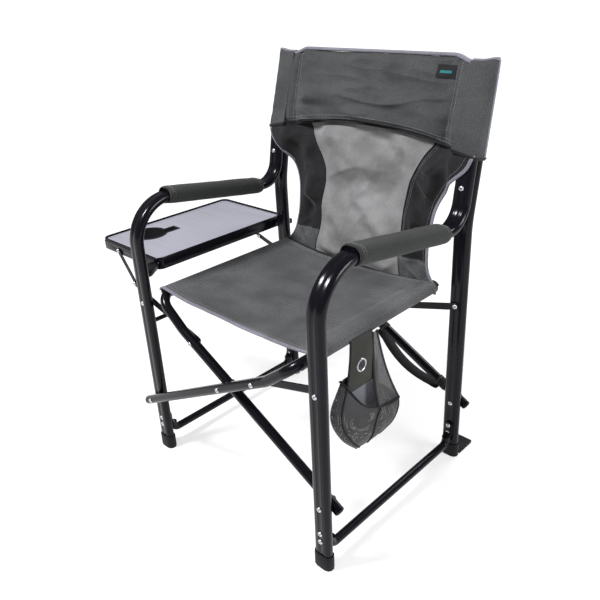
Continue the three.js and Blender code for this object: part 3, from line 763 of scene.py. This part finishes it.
def swell(x, z):
    """How much further forward the header's lower corners stand, over the armrest tubes' tops."""
    t = (z - seam_z(x)) / (header_top(x) - seam_z(x))
    return HEADER_SWELL * ease(160, 262, abs(x)) * (1 - min(max(t, 0), 1)) ** 1.2


def header_top(x):
    return HEADER_TOP - 12 * ease(205, 250, abs(x))


# half widths of the whole backrest and of its light panel, by height
EDGE = curve_through([(446, 236), (472, 214), (520, 201), (575, 201), (625, 209), (672, 233), (735, 286),
                      (SEAM_Z, 296)])
PANEL = curve_through([(446, 136), (500, 128), (560, 126), (610, 123), (655, 128), (705, 156),
                       (SEAM_Z, 190)])


def header_shape(x, turn):
    """One station of the padded header: a pillow section, thinner at the stitched lines."""
    low, high = seam_z(x) - 1, header_top(x)
    groove = math.exp(-((abs(x) - STITCH_X) / 8) ** 2)
    beyond = ease(STITCH_X + 4, 250, abs(x))
    front = 13 + 1.5 * beyond - 6.5 * groove
    rear = 5 + 7 * beyond
    c, s = math.cos(turn), math.sin(turn)
    up = math.copysign(abs(c) ** 0.42, c)
    out = math.copysign(abs(s) ** 0.62, s)
    z = (low + high) / 2 + (high - low) / 2 * up
    return z, out * ((front + swell(x, z)) if out > 0 else rear)


def header():
    stations, around = 130, 72
    points = []
    for x in np.linspace(-HEADER_X, HEADER_X, stations):
        for turn in np.linspace(0, 2 * math.pi, around, endpoint=False):
            z, n = header_shape(x, turn)
            points.append(back_point(x, z, n))
    pad = build("header_pad", points, band(stations, around, True, True), FABRIC, 80)
    inflate(pad, voxel=5.0, pressure=3.0, cap=3.0)
    crease(pad)
    tree, extras = tree_of(pad), []

    def row(name, spots):
        starts = [back_point(x, z, CAST) for x, z in spots]
        extras.append(sewn(name, tree, starts, -NORMAL))
    for word, side in SIDES:
        for n, x in enumerate((STITCH_X - 4, STITCH_X + 4)):
            levels = np.linspace(seam_z(x) + 8, header_top(x) - 6, 60)
            row(f"header_{word}_stitch_{n}", [(side * x, z) for z in levels])
    for n, rise in enumerate((7, 14)):
        row(f"header_seam_stitch_{n}", [(x, seam_z(x) + rise) for x in np.linspace(-250, 250, 120)])
    top = [back_point(x, header_top(x) - 0.5, 2) for x in np.linspace(-HEADER_X, HEADER_X, 120)]
    extras.append(build("header_top_binding", *sweep(top, oval(15, 7.5, 8), NORMAL), BINDING))
    seam = [back_point(x, seam_z(x) - 0.5, 5) for x in np.linspace(-HEADER_X, HEADER_X, 120)]
    extras.append(build("header_seam_piping", *sweep(seam, oval(10, 5, 8), NORMAL), SIDE))
    extras += label(tree)
    for piece in (pad, *extras):
        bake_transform(piece)


def label(tree):
    """A small plain sewn label, with a plain bar in place of any mark."""
    def patch(name, x0, x1, z0, z1, lift, material):
        def surface(u, v):
            x, z = x0 + (x1 - x0) * u, z0 + (z1 - z0) * v
            hit = onto(tree, back_point(x, z, CAST), -NORMAL)
            return (hit if hit is not None else back_point(x, z, 13)) + NORMAL * lift
        return build(name, *skin(surface, 14, 10, 1.0), material)
    return [patch("header_label", 176, 217, 873, 899, 0.9, LINING),
            patch("label_bar", 184, 209, 883, 888, 1.5, TEAL)]


def finer(piece):
    smooth = piece.modifiers.new("finer", "SUBSURF")
    smooth.levels = smooth.render_levels = 1
    return piece


def inflate(piece, voxel, pressure, cap):
    """Lets the sewn shape swell under pressure, by cloth simulation, by at most `cap` millimetres."""
    remesh = piece.modifiers.new("remesh", "REMESH")
    remesh.mode, remesh.voxel_size = "VOXEL", voxel * MM
    bake(piece)
    start = np.array([v.co for v in piece.data.vertices])
    pins = piece.vertex_groups.new(name="pin")
    for v in piece.data.vertices:
        x = (v.co.x - ORIGIN.x) / MM
        hold = math.exp(-((abs(x) - STITCH_X) / 5) ** 2)
        pins.add([v.index], 1.0 if abs(x) > HEADER_X - 9 else hold, "REPLACE")
    cloth = piece.modifiers.new("cloth", "CLOTH")
    cloth.settings.quality = 4
    cloth.settings.use_pressure = True
    cloth.settings.uniform_pressure_force = pressure
    cloth.settings.vertex_group_mass = "pin"
    cloth.settings.effector_weights.gravity = 0
    cloth.collision_settings.use_collision = False
    frames = 20
    cloth.point_cache.frame_end = frames
    scene = bpy.context.scene
    for step in range(1, frames + 1):
        scene.frame_set(step)
    swollen = bpy.data.meshes.new_from_object(piece.evaluated_get(bpy.context.evaluated_depsgraph_get()))
    piece.modifiers.clear()
    piece.vertex_groups.clear()
    moved = np.array([v.co for v in swollen.vertices]) - start
    far = np.linalg.norm(moved, axis=1, keepdims=True)
    moved *= np.minimum(1, cap * MM / np.maximum(far, 1e-9))
    for vertex, place in zip(piece.data.vertices, start + moved):
        vertex.co = place
    bake(finer(piece))
    piece.data.shade_smooth()
    scene.frame_set(1)


def ridge(x, z, wide, high, seed):
    """Noise with sharp crests, as pressed cloth folds: from 0 to 1."""
    return (1 - min(1, 2.4 * abs(wrinkle(x, z, wide, high, seed)))) ** 1.5


def crease(pad):
    """Long sideways folds, strongest above the lower seam, and puckers where the stitched lines end."""
    for vertex in pad.data.vertices:
        x, z = (vertex.co.x - ORIGIN.x) / MM, vertex.co.z / MM
        low = ease(865, 790, z)
        inner = 1 - ease(185, 222, abs(x))
        calm = 1 - ease(232, 250, abs(x))
        slant = z + 0.05 * x
        depth = inner * (3.5 + 13 * low) * ridge(x, slant, 230, 34, 4)
        depth += inner * 9.0 * wrinkle(x, slant, 140, 40, 2)
        ends = math.exp(-(z - seam_z(x)) / 26) + math.exp(-(header_top(x) - z) / 26)
        by_stitch = math.exp(-((abs(x) - STITCH_X) / 24) ** 2)
        depth += 6.0 * by_stitch * ends * wrinkle(x, z, 10, 34, 7)
        depth += 2.0 * wrinkle(x, z, 40, 16, 9)
        front = 1 if (Vector(vertex.co) - at(*back_point(x, z, 0))).dot(Vector(NORMAL)) > 0 else -0.4
        vertex.co += Vector(NORMAL) * depth * front * calm * MM


def tunnels():
    """The backrest's tunnels on the uprights. Their lower ends also cover the armrest tubes' tops."""
    rings, around = 54, 64
    for word, side in SIDES:
        shift = shift_of(side)

        def outline(t):
            z = seam_z(LEG_X) + (TUNNEL_TOP - seam_z(LEG_X)) * t
            puckers = 1.4 + 3.6 * math.exp(-8 * t) + 2.4 * math.exp(10 * (t - 1))
            front = TUNNEL_DEEP + swell(LEG_X, z) + puckers * wrinkle(z, side * 9, 20, 9, 5)
            close = 1 - 0.10 * ease(0.95, 1, t)
            lip = TUNNEL_DEEP + swell(246, z + 12)
            controls = [(246, lip), (254, (lip + front) / 2 + 0.5), (264, front), (280, front + 0.4),
                        (294, front - 0.8), (300.6, front - 7), (301.6, 0), (300.2, -8), (292, -12.6),
                        (270, -13), (252, -13), (246, -12.6), (245, 0)]
            return z, [(LEG_X + (x - LEG_X) * close, n * close)
                       for x, n in closed_spline(controls, around)]

        def spot(x, n, z, t):
            dip = (seam_z(x) - seam_z(LEG_X)) * (1 - t)
            ear = 4 * ease(0.9, 1, t) * ease(270, 300, x)
            return vec(side * x, upright_y(z) + shift, z + dip + ear) + NORMAL * n

        def ring(t):
            z, section = outline(t)
            return [spot(x, n, z, t) for x, n in section]
        points = [p for t in shares(rings) for p in ring(t)]
        piece = build(f"{word}_header_tunnel", points, band(rings, around, last=True), FABRIC, 60)
        thicken(piece, 1.2)
        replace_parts(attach(piece, f"{word}_frame"), f"{word}_back_sleeve")
        edge = [spot(301.2, -3, outline(t)[0], t) for t in shares(34)]
        top = [spot(x, 1, outline(1)[0], 1) + vec(0, 0, 1.5) for x in np.linspace(249, 301, 16)]
        hem = ring(0)
        for part, line, section, across, material in (
                ("edge", edge, oval(3, 7, 7), ALONG_X, BINDING),
                ("top", top, oval(13, 6, 7), NORMAL, BINDING),
                ("hem", [*hem, hem[0]], oval(2.6, 7, 7), ALONG_X, SIDE)):
            bound = build(f"{word}_header_{part}_binding", *sweep(line, section, across), material)
            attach(bound, f"{word}_frame")


def panel_depth(x, z):
    """How far the cloth below the header stands forward: its hang, its folds, and its creased sides."""
    up, down = z - PANEL_LOW, seam_z(x) - z
    hang = -9 * math.sin(math.pi * min(1, up / 320)) * max(0, 1 - (x / 230) ** 2) - 5 * ease(26, 0, up)
    over_tube = OVER_TUBE * ease(200, 256, abs(x)) * ease(630, 700, z)
    front = 11 * ease(225, 250, abs(x)) + over_tube - 4 * ease(724, 740, z)
    folds = 30 * wrinkle(x, z + 0.35 * x, 150, 72, 11) + 9.0 * ridge(x, z - 0.5 * x, 210, 84, 14)
    folds += 3.6 * wrinkle(x, z, 44, 28, 12) + 1.0 * wrinkle(x, z, 14, 12, 13)
    folds *= 0.3 + 0.7 * ease(0, 45, abs(abs(x) - PANEL(z)))
    calm = ease(0, 34, up) * ease(0, 26, down) * ease(4, 46, EDGE(z) - abs(x))
    across = (abs(x) - PANEL(z)) / (EDGE(z) - PANEL(z))
    bulge = math.sin(math.pi * min(max(across, 0), 1)) * ease(0, 34, up) * ease(0, 30, down)
    crumple = 8 * ridge(x + 0.6 * z, z, 52, 64, 21) + 6 * wrinkle(x, z, 30, 40, 22)
    return hang + front + folds * calm + crumple * bulge


def back_panels():
    """Light hourglass panel between two dark side panels, below the header."""
    low, tall, tuck = PANEL_LOW, seam_z(0) - PANEL_LOW, 7

    def panel(name, near, far, material, nu, nv, span=(0, 1), lift=0.0, thick=1.8):
        """Cloth between two edges given by height, over a share of the way up. Its top is tucked in."""
        def surface(u, v):
            share = span[0] + (span[1] - span[0]) * v
            level = low + tall * share
            x = near(level) + (far(level) - near(level)) * u
            z = low + (seam_z(x) + tuck - low) * share
            return back_point(x, z, panel_depth(x, z) + lift)
        return build(name, *skin(surface, nu, nv, thick), material, 70), surface

    def row(name, spots):
        return stitches(name, spots, NORMAL, *FINE_SEAM)
    centre, _ = panel("back_light_panel", lambda z: -PANEL(z), PANEL, LIGHT, 90, 110)
    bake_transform(centre)
    levels = np.linspace(low, seam_z(0), 80)
    wide = np.mean([2 * PANEL(z) for z in levels])
    2 * PANEL(seam_z(0)) * MM
    for word, side in SIDES:
        dark, surface = panel(f"back_{word}_side", lambda z, s=side: s * PANEL(z),
                              lambda z, s=side: s * EDGE(z), SIDE, 44, 110)
        share = (TAIL_Z - low) / tall
        tail, _ = panel(f"back_{word}_tail", lambda z, s=side: s * (PANEL(z) - 1),
                        lambda z, s=side: s * (EDGE(z) + 0.5), SEAT, 40, 24, (-0.005, share), 1.0, 1.2)
        rim = [np.array(surface(1, v)) for v in shares(130)]
        bound = build(f"back_{word}_binding", *sweep(rim, oval(3.4, 7.5, 7), NORMAL), BINDING)
        joint = [np.array(surface(0, v)) + NORMAL * 0.3 for v in shares(90)]
        piping = build(f"back_{word}_seam", *sweep(joint, circle(1.5, 8), NORMAL), LINING)
        rows = [row(f"back_{word}_stitch_{n}", [surface(u, v) for v in np.linspace(0.01, 0.99, 130)])
                for n, u in enumerate((0.06, 0.11, 0.88))]
        rows.append(row(f"back_{word}_tail_stitch", [surface(u, share - 0.015) + NORMAL
                                                     for u in np.linspace(0.02, 0.98, 40)]))
        extras = [bound, piping, tail, *rows]
        for piece in (dark, *extras):
            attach(piece, f"back_{word}")
        width = np.mean([EDGE(z) - PANEL(z) for z in levels])
        (EDGE(seam_z(0)) - PANEL(low)) * MM
        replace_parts(dark, f"back_{word}")


# ---- arm pads ----
def arm_pads():
    outer, foam_section = oval(51.5, 37.5, 18), oval(46.5, 32, 14)
    up = vec(0, ARM_DROP, 1) / math.hypot(1, ARM_DROP)

    def round_ends(t):
        return 1 - 0.10 * math.exp(-t * 60) - 0.10 * math.exp((t - 1) * 60)
    for word, side in SIDES:
        x, shift = side * LEG_X, shift_of(side)
        path = [vec(x, y + shift, arm_z(y)) for y in np.linspace(ARM_Y - 2, PAD_END_Y - 2, 90)]
        points, faces = sweep(path, outer, ALONG_X, round_ends)
        pad = build(f"{word}_pad_cover", points, faces[:-2], PAD, 80)  # open at both ends
        for vertex in pad.data.vertices:
            y = (vertex.co.y - ORIGIN.y) / MM
            vertex.co += Vector(up) * 0.7 * wrinkle(y, vertex.co.x / MM, 42, 30, side + 3) * MM
        thicken(pad, 2.2).data.shade_smooth()
        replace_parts(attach(pad, f"{word}_frame"), f"{word}_arm_pad")
        # black foam shows as a ring at both ends
        foam = build(f"{word}_pad_foam", *sweep(path[2:-2], foam_section, ALONG_X), LINING, 60)
        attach(foam, f"{word}_frame")
        length = path[-1] - path[0]
        over = np.cross(unit(length), ALONG_X)
        for n, t in enumerate((0.03, 0.05, 0.95, 0.97)):
            place = path[0] + length * t
            ring = [place + (vec(1, 0, 0) * a + over * b) * round_ends(t) for a, b in [*outer, outer[0]]]
            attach(stitches(f"{word}_pad_stitch_{n}", ring, up, 4.2, 2.8, 0.5), f"{word}_frame")
        seam = [p - up * 18.6 for p in path]
        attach(build(f"{word}_pad_seam", *sweep(seam, circle(1.2, 8), ALONG_X), PAD), f"{word}_frame")


# ---- pouch ----
POUCH_X, POUCH_TOP, BAG_FOOT = 243, 444, 184
MOUTH = curve_through([(-1, 366), (-0.55, 303), (0, 268), (0.5, 252), (1, 240)])
BAG_LEFT = curve_through([(0, -138), (0.3, -168), (0.7, -142), (1, -96)])
BAG_RIGHT = curve_through([(0, 48), (0.35, 45), (0.75, 20), (1, -24)])


def bag_shell(u, turn_out, s):
    """A point of the bag: u runs across it, turn_out from its back (-1) to its front (1), s down it."""
    y = (BAG_LEFT(s) + BAG_RIGHT(s)) / 2 + (BAG_RIGHT(s) - BAG_LEFT(s)) / 2 * u
    rise = 46 * (1 - u * u) if turn_out < 0 else 0
    top = MOUTH(u) + rise * min(1, -turn_out * 2)
    z = top + (BAG_FOOT - top) * s
    deep = 24 * (0.72 + 0.34 * math.sin(math.pi * min(1, 1.15 * s)))
    pucker = 1 + 0.08 * wrinkle(y, z, 16, 70, 21) + 0.06 * wrinkle(y, z, 40, 34, 22)
    full = math.sqrt(max(0.0, 1 - max(0, (s - 0.72) / 0.28) ** 2))
    out = turn_out * deep * pucker * (0.15 + 0.85 * full)
    return vec(POUCH_X - 3 + out, y, z - 7 * full * s * u * u)


def pouch():
    made = []

    def tape(name, line, wide, tall, across=ALONG_X):
        made.append(build(name, *sweep(line, oval(wide, tall, 7), across), LINING))

    def flap(u, v):
        y = -107 + 61 * u + v * (-20 + 24 * u)
        bow = 3 * math.sin(math.pi * u) * math.sin(math.pi * v)
        lean = 5.5 * (1 - v) ** 4
        return (POUCH_X + 2 + bow - lean, y, POUCH_TOP - 107 * v)
    panel = build("pouch_flap", *skin(flap, 26, 30, 2.0), OLIVE, 60)
    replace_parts(panel, "pouch_panel")
    made.append(panel)
    for n, u in enumerate((0, 1)):
        tape(f"pouch_flap_edge_{n}", [flap(u, v) for v in shares(24)], 3.4, 7)
    tape("pouch_flap_hem", [flap(u, 1) for u in shares(20)], 3.6, 7)
    eye = vec(POUCH_X + 6, -87, 386)
    rim = ((11.2, 0), (11.2, 1.4), (12.4, 2.2), (13.8, 1.8), (14.6, 0))
    boss = ((0.1, 1.7), (1.6, 1.9), (2.0, 0.9), (4.4, 1.0), (4.8, 1.7), (6.2, 1.7), (6.6, 0.8),
            (11.3, 0.8), (11.3, 0))
    made.append(build("pouch_ring", *lathe(eye, ALONG_X, rim, 40), STEEL))
    made.append(build("pouch_ring_centre", *lathe(eye, ALONG_X, boss, 40), DARK))

    # mesh bag, open at its slanting mouth
    around, rings = 96, 40
    points = []
    for s in shares(rings):
        for a in np.linspace(0, 2 * math.pi, around, endpoint=False):
            points.append(bag_shell(math.sin(a), math.cos(a), s))
    bag = build("pouch_net", points, band(rings, around), MESH, 80)
    thicken(bag, 0.7)
    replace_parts(bag, "pouch_bag")
    made.append(bag)
    tape("pouch_mouth_binding", points[:around] + points[:1], 3, 8, UP)
    tape("pouch_foot_seam", [bag_shell(u, 0, 1) for u in np.linspace(-1, 1, 30)], 5, 6)
    for n, (u0, u1) in enumerate(((-0.9, -0.75), (0.12, -0.2), (0.97, 0.8))):
        line = []
        for s in np.linspace(0, 0.97, 30):
            u = u0 + (u1 - u0) * s
            line.append(bag_shell(u, math.sqrt(1 - u * u), s) + vec(0.6, 0, 0))
        tape(f"pouch_tape_{n}", line, 2.2, 5)

    # pale lining behind, and the mesh gusset that holds the mouth's far corner up to the rail
    def back(u, v):
        return (POUCH_X - 8 - 5 * v, -128 + 108 * u + 16 * v, 366 - 50 * u * v - 96 * v)
    made.append(build("pouch_back_lining", *skin(back, 16, 16, 1.5), PALE))
    top, far, near = vec(POUCH_X, -44, POUCH_TOP - 6), bag_shell(0.98, 0.2, 0), bag_shell(0.05, 1, 0.02)

    def gusset(u, v):
        foot = near + (far - near) * u + vec(0, 0, -10) * math.sin(math.pi * u)
        start = top + vec(0, 12, 0) * u
        bend = vec(0, -6, -6) * math.sin(math.pi * v)
        return tuple(start + (foot - start) * v + bend)
    made.append(build("pouch_gusset", *skin(gusset, 16, 30, 0.8), MESH))
    for n, u in enumerate((0, 1)):
        tape(f"pouch_gusset_tape_{n}", [gusset(u, v) for v in shares(24)], 2.6, 6)
    # folded, the bag is pressed flat under the rail, clear of the armrest
    # each piece joins the pouch's body and gets a mesh of its own
    for piece in made:
        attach(piece, "pouch")
        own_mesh(piece)


# ---- carry strap ----
def carry_strap():
    """Wide webbing that bows below the rear bar, sewn round it at both ends."""
    centre = tube_rows("b")["rear"]
    along = vec(-math.cos(OPEN_ANGLE), 0, math.sin(OPEN_ANGLE))
    up = vec(math.sin(OPEN_ANGLE), 0, math.cos(OPEN_ANGLE))
    first, last, wide, wrap = 50, 255, 32, ROUND_R + 1.6

    def spot(s, rise, y=centre):
        return vec(LEG_X, y, PIVOT_Z) + along * s + up * rise
    line = []
    for t in shares(60):
        bow = 32 * math.sin(math.pi * t) ** 0.8
        y = centre + 4.8 * ease(0, 0.12, t) * ease(1, 0.88, t)
        line.append(spot(first + (last - first) * t, -ROUND_R - 2.4 - bow, y))
    web = build("carry_webbing", *sweep(line, oval(2.4, wide, 5), up), WEBBING, 50)
    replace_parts(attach(web, "x_tube_b"), "carry_strap")
    extras = []
    for n, s in enumerate((first, last)):
        line_in = [spot(s, 0) + along * d for d in np.linspace(-14, 14, 7)]
        extras.append(build(f"strap_end_{n}", *sweep(line_in, circle(wrap, 32), up), WEBBING, 50))
        ring = [spot(s, 0) + (up * math.cos(a) + vec(0, 1, 0) * math.sin(a)) * wrap
                for a in np.linspace(0, 2 * math.pi, 40)]
        for k, aside in enumerate((-9, 9)):
            line_out = [p + along * aside for p in ring]
            extras.append(stitches(f"strap_end_{n}_stitch_{k}", line_out, along, 4.4, 3, 0.5))
    for piece in extras:
        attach(piece, "x_tube_b")
    length = distances(line)[-1] * MM


# ---- table ----
def table_edge():
    """A rolled lip round the table's top, and a hem round the foot of its rim."""
    low, high = box_mm("table_rim")
    corner, steps = 16, 6

    def loop(inset, z):
        x0, y0, x1, y1 = low[0] + inset, low[1] + inset, high[0] - inset, high[1] - inset
        centres = ((x1 - corner, y1 - corner), (x0 + corner, y1 - corner), (x0 + corner, y0 + corner),
                   (x1 - corner, y0 + corner))
        points = []
        for quarter, (cx, cy) in enumerate(centres):
            for a in np.radians(np.linspace(90 * quarter, 90 * quarter + 90, steps)):
                points.append(vec(cx + corner * math.cos(a), cy + corner * math.sin(a), z))
        return [*points, points[0], points[1]]
    for name, inset, z, section in (("table_lip", 4.2, high[2] + 0.4, oval(8.4, 5, 8)),
                                    ("table_lower_hem", 3.2, low[2] + 0.6, oval(7, 3.4, 8))):
        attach(build(name, *sweep(loop(inset, z), section, UP), FRAME, 50), "table")


# ---- stage ----
LAMPS = (("key", (-900, -1600, 2700), 0.55, 125), ("side", (2200, 500, 1500), 1.0, 45),
         ("back", (300, 2300, 2100), 1.2, 44))  # name, place, size in metres, power
GLOW = {"From Min": 1.4, "From Max": 3.6, "To Min": 0.62, "To Max": 1.05}  # by metres from the chair
AIM, SOFT_LIGHT, PLAIN_WHITE = (0, 0, 450), 0.22, 1.0
CAMERA_AT, CAMERA_TURN, LENS, SENSOR = (930.6, -925.5, 1055.5), (45.125, 25.942, -2.791), 38.8, 36


def stage():
    """A white floor that glows more further out, a white world that lights softly, and three lamps."""
    bpy.ops.mesh.primitive_plane_add(size=40, location=(0, 0, 0))
    floor = bpy.context.object
    floor.name = "floor"
    material, nodes, links, shader = node_tree("floor_pale", {
        "Base Color": (0.40, 0.40, 0.40, 1), "Roughness": 0.95, "Emission Color": (1, 1, 1, 1)})
    coords = nodes.new("ShaderNodeTexCoord")
    far = add_node(nodes, "ShaderNodeVectorMath", operation="LENGTH")
    links.new(coords.outputs["Object"], far.inputs[0])
    glow = add_node(nodes, "ShaderNodeMapRange", GLOW)
    links.new(far.outputs["Value"], glow.inputs["Value"])
    links.new(glow.outputs["Result"], shader.inputs["Emission Strength"])
    floor.data.materials.append(material)

    world = bpy.data.worlds.new("studio")
    world.use_nodes = True
    nodes, links = world.node_tree.nodes, world.node_tree.links
    soft = nodes["Background"]
    soft.inputs["Strength"].default_value = SOFT_LIGHT
    white = nodes.new("ShaderNodeBackground")
    white.inputs["Strength"].default_value = PLAIN_WHITE
    for background in (soft, white):
        background.inputs["Color"].default_value = (1, 1, 1, 1)
    pick = nodes.new("ShaderNodeMixShader")
    links.new(nodes.new("ShaderNodeLightPath").outputs["Is Camera Ray"], pick.inputs["Fac"])
    links.new(soft.outputs["Background"], pick.inputs[1])
    links.new(white.outputs["Background"], pick.inputs[2])
    links.new(pick.outputs["Shader"], nodes["World Output"].inputs["Surface"])
    scene = bpy.context.scene
    scene.world = world
    scene.view_settings.view_transform = "Standard"
    for name, spot, size, power in LAMPS:
        data = bpy.data.lights.new(name, "AREA")
        data.size, data.energy = size, power
        lamp = add_object(name, data)
        lamp.location = at(*spot)
        lamp.rotation_euler = (at(*AIM) - lamp.location).to_track_quat("-Z", "Y").to_euler()


def camera():
    """Stands in front and to the right, a little above the header, and looks down at the seat."""
    yaw, pitch, roll = (math.radians(a) for a in CAMERA_TURN)
    ahead = Vector((-math.sin(yaw) * math.cos(pitch), math.cos(yaw) * math.cos(pitch), -math.sin(pitch)))
    right = Vector((math.cos(yaw), math.sin(yaw), 0))
    up = right.cross(ahead)
    level = right * math.cos(roll) + up * math.sin(roll)
    top = up * math.cos(roll) - right * math.sin(roll)
    data = bpy.data.cameras.new("camera")
    data.lens, data.sensor_width = LENS, SENSOR
    view = add_object("camera", data)
    basis = Matrix((level, top, -ahead)).transposed().to_4x4()
    view.matrix_world = Matrix.Translation(at(*CAMERA_AT)) @ basis
    bpy.context.scene.camera = view


camera()
stage()
side_frames()
crossing_tubes()
rivets()
spare_rivets()
seat()
header()
tunnels()
back_panels()
arm_pads()
pouch()
carry_strap()
table_edge()
refine_cad_nodes()
